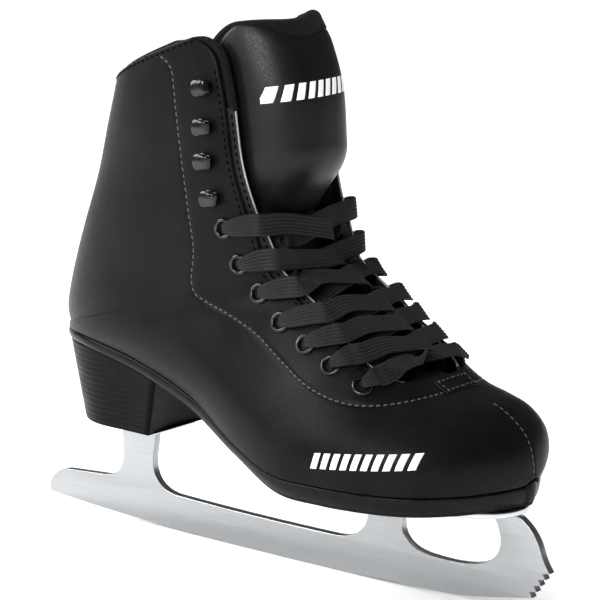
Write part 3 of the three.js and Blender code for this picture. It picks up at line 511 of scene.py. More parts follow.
def weld(mesh, merge, dissolve=False):
    """Joins points closer than merge mm, turns every face outwards and shades the mesh smooth."""
    bm = bmesh.new()
    bm.from_mesh(mesh)
    if merge:
        bmesh.ops.remove_doubles(bm, verts=bm.verts, dist=merge * MM)
    if merge and dissolve:
        bmesh.ops.dissolve_degenerate(bm, edges=bm.edges, dist=merge * MM * 0.5)
    bmesh.ops.recalc_face_normals(bm, faces=bm.faces)
    bm.to_mesh(mesh)
    bm.free()
    mesh.polygons.foreach_set("use_smooth", [True] * len(mesh.polygons))


def make(name, points, faces, material, slot, replaces=(), body=BOOT, merge=0.004):
    """A piece from points in mm and the faces between them."""
    mesh = bpy.data.meshes.new(name)
    mesh.from_pydata((np.asarray(points) * MM).tolist(), [], [list(map(int, f)) for f in faces])
    weld(mesh, merge, dissolve=True)
    return place(bpy.data.objects.new(name, mesh), material, slot, replaces, body)


def place(piece, material, slot, replaces=(), body=BOOT):
    """Puts an object in the scene with its material, hides the CAD pieces it replaces and hangs it on its
    body, or bakes its transform when body is bend; slot is not used.
    """
    bpy.context.scene.collection.objects.link(piece)
    piece.data.materials.append(material)
    if replaces:
        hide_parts(*replaces)
    if body == "bend":
        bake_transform(piece)
    else:
        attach(piece, body)
    return piece


def quads(rows, columns, start=0):
    i, j = np.meshgrid(np.arange(rows - 1), np.arange(columns - 1), indexing="ij")
    a = start + i * columns + j
    return np.stack([a, a + 1, a + columns + 1, a + columns], -1).reshape(-1, 4).tolist()


def shell(outer, inner):
    """Points and faces of the closed body between two grids of the same size."""
    rows, columns = outer.shape[:2]
    count = rows * columns
    index = np.arange(count).reshape(rows, columns)
    rim = np.concatenate([index[0], index[1:, -1], index[-1, -2::-1], index[-2:0:-1, 0]])
    following = np.roll(rim, -1)
    faces = quads(rows, columns)
    faces += [face[::-1] for face in quads(rows, columns, count)]
    faces += [[b, a, a + count, b + count] for a, b in zip(rim, following)]
    return np.concatenate([outer.reshape(-1, 3), inner.reshape(-1, 3)]), faces


def tube(rings, closed=False):
    """Points and faces through rings of points; closed joins the last ring to the first."""
    count, size = len(rings), len(rings[0])
    faces = []
    for i in range(count if closed else count - 1):
        after = (i + 1) % count
        for j in range(size):
            k = (j + 1) % size
            faces.append([i * size + j, i * size + k, after * size + k, after * size + j])
    if not closed:
        faces.append(list(range(size))[::-1])
        faces.append([(count - 1) * size + j for j in range(size)])
    return np.concatenate(rings), faces


def joined(parts):
    """One list of points and one of faces from several (points, faces)."""
    faces, start = [], 0
    for points, new in parts:
        faces += [[start + i for i in face] for face in new]
        start += len(points)
    return np.concatenate([points for points, _ in parts]), faces


def ring(centre, across, up, radius, count):
    """A circle of points round centre, in the plane of the directions across and up."""
    turn = np.arange(count) * 2 * math.pi / count
    return centre + radius * (np.cos(turn)[:, None] * across + np.sin(turn)[:, None] * up)


def rounding(distance, radius):
    """0 at an edge, 1 from radius mm on, along a quarter circle."""
    return np.sqrt(np.clip(1 - (1 - np.clip(distance / radius, 0, 1)) ** 2, 0, 1))


def smooth(x, low, high):
    """0 up to low, 1 from high on, easing in and out between them."""
    f = np.clip((x - low) / (high - low), 0, 1)
    return f * f * (3 - 2 * f)


def run_lengths(points):
    """Distance along each row of points from its first point."""
    steps = np.linalg.norm(np.diff(points, axis=-2), axis=-1)
    return np.concatenate([np.zeros_like(steps[..., :1]), np.cumsum(steps, -1)], -1)


def resample(values, lengths, step):
    """Rows of values at points spread evenly, about step mm apart, along their line."""
    count = max(2, int(lengths[-1] / step) + 1)
    at = np.linspace(0, lengths[-1], count)
    return np.stack([np.interp(at, lengths, values[:, k]) for k in range(values.shape[1])], -1)


# ---- Stitches ----


def stitch_shape():
    """One stitch along X, about 1 long: a rounded bar whose ends dip into the leather."""
    along = np.linspace(-1, 1, 7)
    around = np.arange(6) * math.pi / 3
    rings = []
    for t in along:
        thick = math.sqrt(max(1 - t**4, 0.04))
        y, z = thick * np.cos(around) / 2, thick * np.sin(around) / 2
        rings.append(np.stack([np.full(6, t / 2), y, z - 0.55 * t**4], -1))
    return tube(rings)


STITCH_POINTS, STITCH_FACES = stitch_shape()
STITCH_FLATNESS = 0.7


def stitches(name, lines, material, pitch=3.4, length=2.5, width=0.75, lift=0.1, slant=6, body=BOOT):
    """Rows of stitches.  Each line is (points, normals) close together along the seam, in mm."""
    lean = math.radians(slant)
    parts = []
    for line, normals in lines:
        both = resample(np.concatenate([line, normals], -1), run_lengths(line), pitch)
        centres, normals = both[:, :3], unit(both[:, 3:])
        tangents = unit(np.gradient(centres, axis=0))
        for centre, normal, tangent in zip(centres, normals, tangents):
            turned = tangent * math.cos(lean) + unit(np.cross(normal, tangent)) * math.sin(lean)
            across = unit(np.cross(normal, turned))
            out = unit(np.cross(turned, across))
            axes = np.stack([turned * length, across * width, out * width * STITCH_FLATNESS])
            parts.append((centre + normal * lift + STITCH_POINTS @ axes, STITCH_FACES))
    make(name, *joined(parts), material, "lace", body=body, merge=0)


def on_boot(u, v, side, depth=0.0):
    """A line on the boot with its normals, as stitches() takes it."""
    return skin(u, v, side, depth), outward(u, v, side)


# ---- Upper ----

SIDES = ((-1, "outer"), (1, "inner"))

# Columns of the leather: fine near the back seam, the facing's stitches and the lacing edge.
NEAR_BACK = np.array([0, 0.0015, 0.003, 0.005, 0.008, 0.012, 0.02, 0.03, 0.042, 0.055, 0.07, 0.085, 0.1])
FROM_EDGE = np.array([
    0, 0.08, 0.25, 0.5, 0.85, 1.2, 1.7, 2.3, 3, 3.8, 4.8, 6.5, 8.5, 11, 13.5, 16, 18, 19.6, 20.6, 21.3,
    21.7, 22, 22.3, 22.7, 23.4, 24.4, 26,
])


def dense(knots, per_unit):
    """Values that run through the knots with at least per_unit of them for each station."""
    parts = []
    for a, b in zip(knots, knots[1:]):
        parts.append(np.linspace(a, b, max(2, math.ceil((b - a) * per_unit) + 1))[:-1])
    return np.concatenate([*parts, knots[-1:]])


def throat_rows():
    """Stations round the end of the throat, closer together towards THROAT_END."""
    turn = np.linspace(0, math.pi / 2, 26)
    return THROAT_BEND + (THROAT_END - THROAT_BEND) * np.sin(turn)


def upper_rows():
    """Stations of the upper's rows from the collar to the toe."""
    top = np.array([0, 0.004, 0.012, 0.024, 0.04, 0.07])
    ends = np.array([19.7, 19.9, TOE])
    shaft = dense([0.07, 12.2], 12)
    return np.concatenate([top, shaft[1:-1], throat_rows(), dense([THROAT_END, 19.7], 11)[1:-1], ends])


def front_rate(u, side):
    """Millimetres of surface for one unit of v near the front, at least so much that the columns fit."""
    toe = np.linalg.norm(bare(u, 1.0, side) - bare(u, 0.9, side), axis=-1) / 0.1
    rate = np.where(u <= THROAT_END, FRONT_ARC, np.minimum(toe, FRONT_ARC))
    return np.maximum(rate, FROM_EDGE[-1] / 0.35)


def upper_columns(rows, side):
    """Ways from back to front of each row, closest together at its two ends."""
    edge = edge_at(rows)[:, None]
    ahead = edge - FROM_EDGE[::-1] / front_rate(rows, side)[:, None]
    f = np.linspace(0, 1, 40)[1:-1]
    between = NEAR_BACK[-1] + (ahead[:, :1] - NEAR_BACK[-1]) * f
    behind = np.broadcast_to(NEAR_BACK, (len(rows), len(NEAR_BACK)))
    return np.concatenate([behind, between, ahead], -1)


def facing_line():
    """The stitched outline of the facing: down behind the hooks and eyelets, round below the throat."""
    shaft = np.linspace(0.15, FACING_BEND, 400)
    v = edge_at(shaft) - FACING_WIDTH / FRONT_ARC
    turn = np.linspace(0, 1, 160) * math.pi / 2
    u = FACING_BEND + (FACING_END - FACING_BEND) * np.sin(turn)
    curve = v[-1] + (0.992 - v[-1]) * (1 - np.cos(turn)) ** 0.9
    return np.concatenate([shaft, u[1:]]), np.concatenate([v, curve[1:]])


def nearest(points, line):
    """Distance from each point to the nearest point of a line."""
    flat = points.reshape(-1, 3)
    parts = np.array_split(line, 10)
    gaps = [np.linalg.norm(flat[:, None, :] - part[None], axis=-1).min(1) for part in parts]
    return np.min(gaps, 0).reshape(points.shape[:-1])


GROOVE_DEPTH, GROOVE_WIDTH = 0.3, 0.9  # of the hollow that a row of stitches pulls in the leather


def quarter(side, label):
    """Leather of one side, thinning to its edges, grooved along the facing's line."""
    rows = upper_rows()
    columns = upper_columns(rows, side)
    u = np.broadcast_to(rows[:, None], columns.shape)
    surface = bare(u, columns, side)
    from_back = run_lengths(surface)
    from_edge = from_back[:, -1:] - from_back
    from_top = rows[:, None] * COLLAR_STEP
    seam = (rows > THROAT_END)[:, None]
    half = LEATHER_THICK / 2
    lacing = np.where(seam, 1 - 0.4 * (1 - rounding(from_edge, 0.8)), rounding(from_edge, 1.3))
    rear = 1 - 0.4 * (1 - rounding(from_back, 0.8))
    thick = half * np.minimum(np.minimum(lacing, rear), rounding(from_top, 1.2))
    away = nearest(surface, bare(*facing_line(), side))
    groove = GROOVE_DEPTH * np.exp(-((away / GROOVE_WIDTH) ** 2))
    outer = skin(u, columns, side, half - thick + groove * (thick / half))
    inner = skin(u, columns, side, half + thick)
    return make(f"leather_{label}", *shell(outer, inner), LEATHER, "upper_leather", [f"quarter_{label}"])


def distances(grid):
    """Distance of each grid point from its row's two ends, and along its column from the first row."""
    run = run_lengths(grid)
    down = run_lengths(np.swapaxes(grid, 0, 1)).T
    return np.minimum(run, run[:, -1:] - run), down


def from_rim(sides, down):
    """Distance of each grid point from the nearest edge of its grid."""
    return np.minimum(sides, np.minimum(down, down[-1:] - down))


def layer(rows, columns, side, depth, thick, radius):
    """A closed sheet inside the boot's surface with round edges."""
    u = np.broadcast_to(rows[:, None], columns.shape)
    rim = from_rim(*distances(bare(u, columns, side)))
    half = thick / 2 * np.maximum(rounding(rim, radius), 0.03)
    middle = depth + thick / 2
    return skin(u, columns, side, middle - half), skin(u, columns, side, middle + half)


def strip_reach(u):
    """How far the eyestay's lip shows past the leather's edge; it runs out round the throat."""
    return STRIP_REACH * np.sqrt(1 - np.clip(u - THROAT_BEND, 0, 1) ** 2)


def between_ways(low, high, count):
    """Columns from low to high at each row, closer together near both ends."""
    return low[:, None] + (high - low)[:, None] * (1 - np.cos(np.linspace(0, math.pi, count))) / 2


def facing(side, label):
    """The reinforcement under the eyelets, whose lighter lip shows past the leather's edge."""
    rows = np.concatenate([dense([0.6, 12.2], 10)[:-1], throat_rows()])
    edge = edge_at(rows)
    shown = smooth(rows, ROLL_END - 0.05, ROLL_END + 0.12)
    reach = (strip_reach(rows) + STRIP_REACH) * shown - STRIP_REACH
    columns = between_ways(edge - 12 / FRONT_ARC, edge + (reach + 0.2) / FRONT_ARC, 26)
    grids = layer(rows, np.minimum(columns, 0.999), side, STIFFENER_DEPTH - 0.2, STIFFENER_THICK, 0.7)
    make(f"eyestay_{label}", *shell(*grids), STRIP, "edging", [f"facing_{label}"])


def painted_edge_highlight(side, label):
    """A fine light line along the eyestay's lip, a painted highlight on its folded edge."""
    u = np.concatenate([np.linspace(ROLL_END + 0.1, 12.2, 240), throat_rows()[1:12]])
    line, normal = on_boot(u, edge_at(u) + strip_reach(u) / FRONT_ARC, side, STIFFENER_DEPTH + 0.25)
    across = unit(np.cross(np.gradient(line, axis=0), normal))
    rings = [ring(p, a, 1.3 * n, 0.42, 8) for p, a, n in zip(line, across, normal)]
    make(f"eyestay_edge_{label}", *tube(rings), EDGE_HIGHLIGHT, "edging")


def lining(side, label):
    """The lining of one side."""
    rows = dense([0.62, 12.2], 6)
    edge = edge_at(rows)
    columns = between_ways(np.full_like(edge, 0.002), edge - 1.0 / FRONT_ARC, 30)
    grids = layer(rows, columns, side, LINING_DEPTH, LINING_THICK, 0.6)
    make(f"lining_cloth_{label}", *shell(*grids), LINING, "lining", [f"lining_{label}"])


ROLL_RADIUS = 2.4  # of the roll's edges


def collar_roll():
    """The padded roll round the top, fullest just above the leather's rim."""
    rows = np.array([
        -0.118, -0.115, -0.106, -0.092, -0.07, -0.045, -0.02, 0, 0.03, 0.07, 0.13, 0.2, 0.3, 0.4, 0.5, 0.54,
        0.56, 0.57,
    ])
    edge = edge_at(rows)
    tip = edge + 4.2 / FRONT_ARC
    columns = between_ways(np.full_like(edge, 0.0004), tip, 90)
    ahead = (columns - edge[:, None]) * FRONT_ARC
    down_share = (rows[-1] - rows[:, None]) / (rows[-1] - rows[0])
    sink = 0.06 * smooth(ahead, -50, -10) + 0.045 * smooth(ahead, -6, 1)
    stretch = 1 + (ROLL_END / rows[-1] - 1) * smooth(ahead, -2.5, 0.5)
    u = rows[0] + (rows[:, None] - rows[0]) * stretch + sink * down_share
    way = columns + edge_at(u) - edge[:, None]
    grids = []
    for side, _ in SIDES:
        surface = bare(u, way, side)
        from_front = run_lengths(surface)
        from_front = from_front[:, -1:] - from_front
        rim = from_rim(from_front, distances(surface)[1])
        thick = PAD_THICK + 0.9 * (1 - smooth(u, -0.02, 0.2))
        half = thick / 2 * np.maximum(rounding(rim, ROLL_RADIUS), 0.02)
        above = 1 - smooth(u, -0.06, 0.03)
        front = 1.3 * smooth(-from_front, -6, -1) * smooth(u, -0.02, 0.1)
        middle = PAD_DEPTH + PAD_THICK / 2 - above - front
        grids.append((skin(u, way, side, middle - half), skin(u, way, side, middle + half)))
    halves = [np.concatenate([outer[:, ::-1], inner], 1) for outer, inner in zip(*grids)]
    roll = make("collar_roll", *shell(*halves), PADDED, "padding", ["collar_padding"])


def upper_stitches():
    """Light rows along the facing and seams, dark ones along the edges."""
    light, dark, seam = [], [], []
    for side, _ in SIDES:
        u, v = facing_line()
        light.append(on_boot(u, v, side, 0.25))
        rows = np.linspace(0.62, 12.6, 500)
        dark.append(on_boot(rows, edge_at(rows) - 1.9 / FRONT_ARC, side))
        lip = rows[rows > ROLL_END + 0.15]
        dark.append(on_boot(lip, edge_at(lip) + 1.6 / FRONT_ARC, side, STIFFENER_DEPTH - 0.25))
        rim = np.linspace(0.03, 0.94, 500)
        top = np.full_like(rim, 0.075)
        keep = rim < edge_at(top) - 0.02
        dark.append(on_boot(top[keep], rim[keep], side))
        low = np.linspace(0.1, 6.0, 300)
        seam.append(on_boot(low, np.full_like(low, 0.018), side))
    toe = np.linspace(15.9, 19.6, 300)
    rate = np.linalg.norm(bare(toe, 1.0, -1) - bare(toe, 0.9, -1), axis=-1) / 0.1
    seam.append(on_boot(toe, 1 - 1.3 / rate, -1))
    stitches("stitches_facing", light, THREAD, pitch=2.9, length=2.2, width=0.8)
    stitches("stitches_edge", dark, DARK_THREAD, pitch=3.1, length=2.1, width=0.8)
    stitches("stitches_seams", seam, THREAD, pitch=2.9, length=2.2, width=0.7)


PATCH_HALF, PATCH_STITCH = 11.5, 9.6  # half width of the throat's patch, and of its stitched line
PATCH_LIFT = 0.8


def patch_line(u, out):
    """Points and normals on the patch's face, out mm to one side of the middle."""
    v = front_at(u, np.full_like(u, abs(out)))
    return on_boot(u, v, -1 if out < 0 else 1, -PATCH_LIFT)


def throat_tab():
    """The small tab sewn over the seam below the throat."""
    rows = THROAT_END + np.array([
        0.1, 0.105, 0.115, 0.135, 0.2, 0.3, 0.42, 0.55, 0.68, 0.8, 0.88, 0.92, 0.94, 0.95,
    ])
    half = np.concatenate([np.linspace(0.5, 9.5, 10), [10.5, 11.1, 11.4, PATCH_HALF]])
    out = np.concatenate([-half[::-1], half])
    grids = []
    for depth in (-PATCH_LIFT, 0.1):
        columns = []
        for off in out:
            side = -1 if off < 0 else 1
            v = front_at(rows, np.full_like(rows, abs(off)))
            columns.append(bare(rows, v, side) - outward(rows, v, side) * depth)
        grids.append(np.stack(columns, 1))
    run = (rows - rows[0])[:, None] * 9.5
    edge = np.minimum(PATCH_HALF - np.abs(out), np.minimum(run, run[-1:] - run))
    outer = grids[1] + (grids[0] - grids[1]) * rounding(edge, 0.9)[..., None]
    make("throat_patch", *shell(outer, grids[1]), LEATHER, "upper_leather", ["throat_tab"])
    ends = [rows[0] + 0.15, rows[-1] - 0.15]
    lines = [patch_line(np.linspace(*ends, 20), side * PATCH_STITCH) for side, _ in SIDES]
    for row in (rows[0] + 0.14, rows[-1] - 0.14):
        start = front_at(np.array([row]), np.array([PATCH_STITCH]))[0]
        v = np.linspace(start, 0.995, 30)
        lines += [on_boot(np.full_like(v, row), v, side, -PATCH_LIFT) for side, _ in SIDES]
    stitches("stitches_patch", lines, THREAD, pitch=2.6, length=1.9, width=0.6)


for side, label in SIDES:
    quarter(side, label)
    facing(side, label)
    painted_edge_highlight(side, label)
    lining(side, label)
collar_roll()
upper_stitches()
throat_tab()

# ---- Printed marks ----


BAR_COUNT, BAR_SLANT = 10, 0.28


def bars(name, surface, width, pitch, height, body):
    """Slanted printed bars on a surface given as a function of (across, up) in mm."""
    parts = []
    for k in range(BAR_COUNT):
        left = (k - (BAR_COUNT - 1) / 2) * pitch - width / 2
        across, up = np.meshgrid(np.linspace(0, width, 6), np.linspace(-height / 2, height / 2, 9))
        across = left + across + up * BAR_SLANT
        parts.append(shell(*(surface(across, up, lift) for lift in (0.16, -0.05))))
    make(name, *joined(parts), PRINT, "upper_leather", body=body, merge=0)


def forefoot_mark(across, up, lift):
    """Points of the mark on the outer forefoot, given as mm across, up and off the leather."""
    x = 81.5 + across * 0.93
    z = 67.0 + across * 0.095 + up
    u, v = np.zeros_like(x), np.zeros_like(x)
    for i in np.ndindex(x.shape):
        u[i], v[i] = locate(x[i], z[i], 10.0)
    return skin(u, v, -1, -lift)


bars("mark_forefoot", forefoot_mark, width=3.1, pitch=5.0, height=6.4, body=BOOT)

# ---- Tongue ----

TONGUE_HALF, TONGUE_LACED_HALF, TONGUE_TOE_HALF = 28.3, 25, 21  # at its top, under the lace, at its end
TONGUE_TURN, TONGUE_LACED_TURN = 46, 12  # how far its sides wrap back, at its top and under the lace
TONGUE_SQUARE = 2.5  # exponent of its arch, 2 being an ellipse
TONGUE_AHEAD = 2  # of the leg's front, at its top
TONGUE_UNDER_LACE = 2.2  # below the middle of the lacing gap
TONGUE_THICK = 5.7
PUFF = 1.6  # swelling of the padding between its sewn edges


def gap_line(u):
    """Middle of the line between the leather's edges at station u, and the way out of the boot there."""

    def middle(at):
        edge = edge_at(at)
        return (bare(at, edge, -1) + bare(at, edge, 1)) / 2

    up = middle(u - 0.1) - middle(u + 0.1)
    up[..., 1] = 0
    up = unit(up)
    return middle(u), np.stack([up[..., 2], 0 * up[..., 2], -up[..., 0]], -1)


def tongue_at(u, f, depth=0.0):
    """Point of the tongue depth mm under its face; f runs from -1 to 1 across it."""
    rows = u[:, :1] if u.ndim > 1 else u
    s = station(rows)
    laced = smooth(rows, 1.85, 3.6)[..., None]
    middle, out = gap_line(np.maximum(rows, 0.7))
    ahead = (s[..., FRONT] - s[..., BACK]) * [1, 0, 0.5]
    ahead[..., 1] = 0
    ahead = unit(ahead)
    crest = s[..., FRONT] + ahead * TONGUE_AHEAD
    crest = crest + (middle - out * TONGUE_UNDER_LACE - crest) * laced
    out = unit(ahead + (out - ahead) * laced)
    lower = TONGUE_LACED_HALF + (TONGUE_TOE_HALF - TONGUE_LACED_HALF) * np.maximum(0, rows - 9) / 4
    half = TONGUE_HALF + (lower - TONGUE_HALF) * laced[..., 0]
    turn = TONGUE_TURN + (TONGUE_LACED_TURN - TONGUE_TURN) * smooth(rows, 2.5, 3.6)
    arch = 1 - (1 - 0.96 * np.abs(f) ** TONGUE_SQUARE) ** (1 / TONGUE_SQUARE)
    point = crest - out * (depth + turn * arch)[..., None]
    point[..., 1] = point[..., 1] + f * (half - depth * 0.5)
    return point


ACROSS = np.sin(np.linspace(-math.pi / 2, math.pi / 2, 61))


def scoop(f):
    """How far below the tongue's top, in stations, its leather stops and the cloth shows."""
    return 0.02 + 0.25 * smooth(f, -1, -0.3) * (1 - 0.2 * smooth(f, 0.6, 1)) - crown(f)


def crown(f):
    """How far the tongue's top stands above its plain line, in stations: low middle, full inner end."""
    near = 0.06 * smooth(-f, 0.3, 1)
    return -0.09 + near + 0.11 * smooth(f, -0.25, 0.45) - 0.42 * (1 - rounding(1 - np.abs(f), 0.14))


def puffed(sides, down, u):
    """How far the padding swells out between the sewn edges, less where the lace presses on it."""
    return PUFF * smooth(sides, 2.5, 15) * smooth(down, 2, 14) * (1 - 0.75 * smooth(u, 2.6, 3.6))


def tongue_rows():
    """Stations of the tongue's rows from its top to its end under the vamp."""
    top = [0, 0.004, 0.012, 0.03, 0.05]
    return np.concatenate([top, dense([0.08, 3.6], 22), dense([3.7, 13.0], 8), [13.06, 13.1]])


def tongue_cushion():
    """The cloth body: full thickness at the top, under the leather below it."""
    u, f = np.meshgrid(tongue_rows(), ACROSS, indexing="ij")
    u = u - crown(f) * (1 - smooth(u, 0, 1.4))
    sides, down = distances(tongue_each(u, f))
    front = -0.3 + 1.8 * smooth(u - scoop(f), -0.015, 0.05) - puffed(sides, down, u)
    middle = (front + TONGUE_THICK) / 2
    half = (TONGUE_THICK - front) / 2 * np.maximum(rounding(from_rim(sides, down), 3.2), 0.02)
    grids = [tongue_each(u, f, middle - half), tongue_each(u, f, middle + half)]
    replaced = ["tongue_padding_lower", "tongue_padding_upper"]
    pad = make("tongue_cushion", *shell(*grids), PADDED, "padding", replaced, body="bend")


def tongue_leather():
    """The leather face, its top edge cut in a scoop."""
    thick = 1.4
    rows = tongue_rows()
    start = scoop(ACROSS)[None] + 0.01
    share = (rows[:, None] - rows[0]) / (rows[-1] - rows[0])
    u = start + (rows[-1] - start) * share
    f = np.broadcast_to(ACROSS[None] * 0.985, u.shape)
    sides, down = distances(tongue_each(u, f))
    groove = 0.35 * np.exp(-(((sides - 3.2) / GROOVE_WIDTH) ** 2))
    middle = thick / 2 - puffed(sides, down + 8, u) + groove
    half = thick / 2 * np.maximum(rounding(from_rim(sides, down), 0.9), 0.02)
    grids = [tongue_each(u, f, middle - half), tongue_each(u, f, middle + half)]
    replaced = ["tongue_face_lower", "tongue_face_upper"]
    make("tongue_leather", *shell(*grids), TONGUE_LEATHER, "upper_leather", replaced, body="bend")


def tongue_each(u, f, depth=0.0):
    """Like tongue_at for a grid whose rows aren't at one station."""
    depth = np.broadcast_to(depth, u.shape)
    flat = [tongue_at(a[:, None], b[:, None], c[:, None]) for a, b, c in zip(u.T, f.T, depth.T)]
    return np.stack([column[:, 0] for column in flat], 1)


def tongue_normal(u, f):
    """Unit vector out of the tongue's face."""
    step = 0.01
    along = tongue_each(u + step, f) - tongue_each(u - step, f)
    left, right = np.clip(f - step, -0.999, 0.999), np.clip(f + step, -0.999, 0.999)
    return unit(np.cross(tongue_each(u, right) - tongue_each(u, left), -along))


def tongue_line(u, f, depth):
    """Points and normals along the tongue at f of the way across it."""
    u = u[:, None]
    f = np.full_like(u, f)
    return tongue_each(u, f, depth)[:, 0], tongue_normal(u, f)[:, 0]


def tongue_piping():
    """The rolled leather edge along both sides, with its row of stitches."""
    for sign, label in SIDES:
        line, normal = tongue_line(np.linspace(0.45, 12.6, 260), sign * 0.99, 0.9)
        side = unit(np.cross(unit(np.gradient(line, axis=0)), normal))
        length = run_lengths(line)
        radius = 1.35 * np.maximum(rounding(np.minimum(length, length[-1] - length), 2), 0.05)
        rings = [ring(p, a, b, r, 10) for p, a, b, r in zip(line, side, normal, radius)]
        make(f"tongue_piping_{label}", *tube(rings), TONGUE_LEATHER, "upper_leather", body="bend")
    lines = [tongue_line(np.linspace(0.6, 12.4, 300), sign * 0.93, -0.1) for sign, _ in SIDES]
    stitches("stitches_tongue", lines, DARK_THREAD, pitch=3.2, length=2.1, width=0.8, body="bend")


def tongue_mark(across, up, lift):
    """Points of the mark on the tongue, given as mm across, up and off the leather."""
    u = 1.06 - up / 30 - across * 0.0018
    f = np.clip(across / TONGUE_HALF * 0.98 - 0.1, -0.93, 0.93)
    way = np.linspace(0, 0.985, 60)
    outline = tongue_at(np.array([[1.0]]), way[None])
    length = run_lengths(outline)[0]
    sides = length[-1] - np.interp(np.abs(f), way, length)
    return tongue_each(u, f, -PUFF * smooth(sides, 2.5, 15) - lift)


tongue_cushion()
tongue_leather()
tongue_piping()
bars("mark_tongue", tongue_mark, width=2.9, pitch=4.6, height=6.6, body="bend")

# ---- Eyelets, hooks and lace ----

EYELETS = [(71.5, 94.5), (57, 101.5), (43.5, 108.5), (29.5, 116), (17, 126.5), (7, 138), (0.5, 153)]
HOOKS = [(-5, 165.5), (-8, 181), (-8.5, 195.5), (-9, 212)]
FITTING_BACK = -(STIFFENER_DEPTH + STIFFENER_THICK + 3 * GAP)
LACE_WIDTH, LACE_THICK = 9.4, 1.1
LACE_TILT = 0.6  # how far its face leans outwards as it nears the leather's edge
HIGH_STRAND, LOW_STRAND = 5.2, 3.4  # heights of the two crossing strands over the gap
AGLET_RADIUS, AGLET_LENGTH = 1.2, 18


def seat_on(x, z, side):
    """Origin and axes of a fitting on the surface: Z out of the boot, Y up it."""
    u, v = locate(x, z)
    out = outward(u, v, side)
    up = bare(u - 0.05, v, side) - bare(u + 0.05, v, side)
    up = unit(up - out * (up @ out))
    return bare(u, v, side), np.stack([np.cross(up, out), up, out])


def flat_ring(radius, z, count):
    """A level circle of points about Z."""
    return ring(np.array([0, 0, z]), np.array([1, 0, 0]), np.array([0, 1, 0]), radius, count)


def revolve(outline, segments=32):
    """A body of revolution about Z; outline is a closed loop of (radius, height)."""
    return tube([flat_ring(r, z, segments) for r, z in outline], closed=True)


def arc(cx, cz, radius, start, end, count=8):
    """Points of an arc from one angle to another, in degrees."""
    turn = np.radians(np.linspace(start, end, count))
    return [(cx + radius * math.cos(t), cz + radius * math.sin(t)) for t in turn]


def eyelet_ring():
    """A rolled flange on the leather and the barrel clinched behind the eyestay."""
    rolled = arc(3.6, 0.62, 0.88, 0, 160, 10) + arc(2.9, 0.35, 0.42, 120, 200, 5)
    clinch = [(2.5, -0.75), (3.3, -0.8), (4.0, -0.3), (3.1, 0)]
    return revolve([(3.0, 0.3), (4.3, 0.3), *rolled, *((r, FITTING_BACK + z) for r, z in clinch)])


HOOK_HALF, HOOK_BEND, HOOK_MIDDLE, HOOK_RADIUS = 3.2, 1.4, 2.8, 1.95
HOOK_WAIST = 0.7  # how much narrower each edge is at the bend


def hook_width(x, part):
    """Half width of the strip at x on its base, bend or top."""
    if part == "base":
        tail = math.sqrt(max(1 - (min(x + 0.8, 0) / 3.2) ** 2, 0.01))
        return HOOK_HALF * tail - HOOK_WAIST * smooth(x, -1.5, HOOK_BEND)
    if part == "bend":
        return HOOK_HALF - HOOK_WAIST
    tip = max(1 - (min(x + 0.5, 0) / 2.72) ** 4, 0.02) ** 0.4
    return HOOK_HALF * tip - HOOK_WAIST * smooth(x, -1.0, 1.2)


def hook_strip():
    """A strip of metal lying on the boot, bent over and back, opening behind."""
    low, high = HOOK_MIDDLE - HOOK_RADIUS, HOOK_MIDDLE + HOOK_RADIUS
    base = [(x, low) for x in [-3.99, -3.9, -3.6, *np.linspace(-3.2, HOOK_BEND, 9)]]
    bend = [(HOOK_BEND + HOOK_RADIUS * math.sin(t), HOOK_MIDDLE - HOOK_RADIUS * math.cos(t))
            for t in np.linspace(0.2, math.pi, 12)]
    top = [(x, high) for x in [*np.linspace(0.9, -2.6, 12), -2.9, -3.1, -3.18]]
    parts = ["base"] * len(base) + ["bend"] * len(bend) + ["top"] * len(top)
    path = np.array(base + bend + top)
    around = np.arange(20) * math.pi / 10
    sweep = np.sign(np.cos(around)) * np.abs(np.cos(around)) ** 0.6
    lift = np.sign(np.sin(around)) * np.abs(np.sin(around)) ** 0.6 * 0.45
    top_start = len(base) + len(bend)
    rings = []
    for k, (p, t, part) in enumerate(zip(path, unit(np.gradient(path, axis=0)), parts)):
        y = hook_width(p[0], part) * sweep
        dome = 0.45 * smooth(k, top_start - 3, top_start + 3) * (y / HOOK_HALF) ** 2
        rings.append(np.stack([p[0] - t[1] * lift, y, p[1] + t[0] * lift - dome], -1))
    shank = [(1.5, 0), (3, 0), (3, -0.9), (2.4, -1.15), (0.01, -1.15)]
    head = [(0.01, 1.75), *arc(0.9, 1.2, 0.6, 70, 0, 5), (1.5, 1.0)]
    rivet = revolve(head + [(r, FITTING_BACK + z) for r, z in shank], 20)
    return joined([tube(rings), rivet])


HOOK_GROWTH = 1.12  # the hooks' plates over their CAD size


def add_fittings(side, word, kind, places, shape, grow):
    """One piece of the shape at each place of one side, for the CAD pieces of that kind."""
    points, faces = shape
    for i, (x, z) in enumerate(places):
        origin, axes = seat_on(x, z, side)
        mesh = origin + points * [grow, grow, 1] @ axes
        make(f"{word}_{i + 1}", mesh, faces, ENAMEL, "enamel", [f"{kind}_{i + 1}"], merge=0.001)


def over_leather(u, side, past, height, flip=1):
    """Knot of the lace height mm off the leather, past mm beyond its edge: point, face, width."""
    v = edge_at(u) + past / FRONT_ARC
    out = outward(u, v, side)
    return [bare(u, v, side) + out * height, out * flip, LACE_WIDTH]


def over_gap(u, side, across, height, flip=1):
    """Knot over the lacing gap; across goes from 0 at its middle to 1 at the leather's edge."""
    middle, out = gap_line(np.asarray(u, float))
    edge = bare(u, edge_at(u), side)
    face = unit(out + [0, side * across * LACE_TILT, 0])
    return [middle + (edge - middle) * across + out * height, face * flip, LACE_WIDTH]


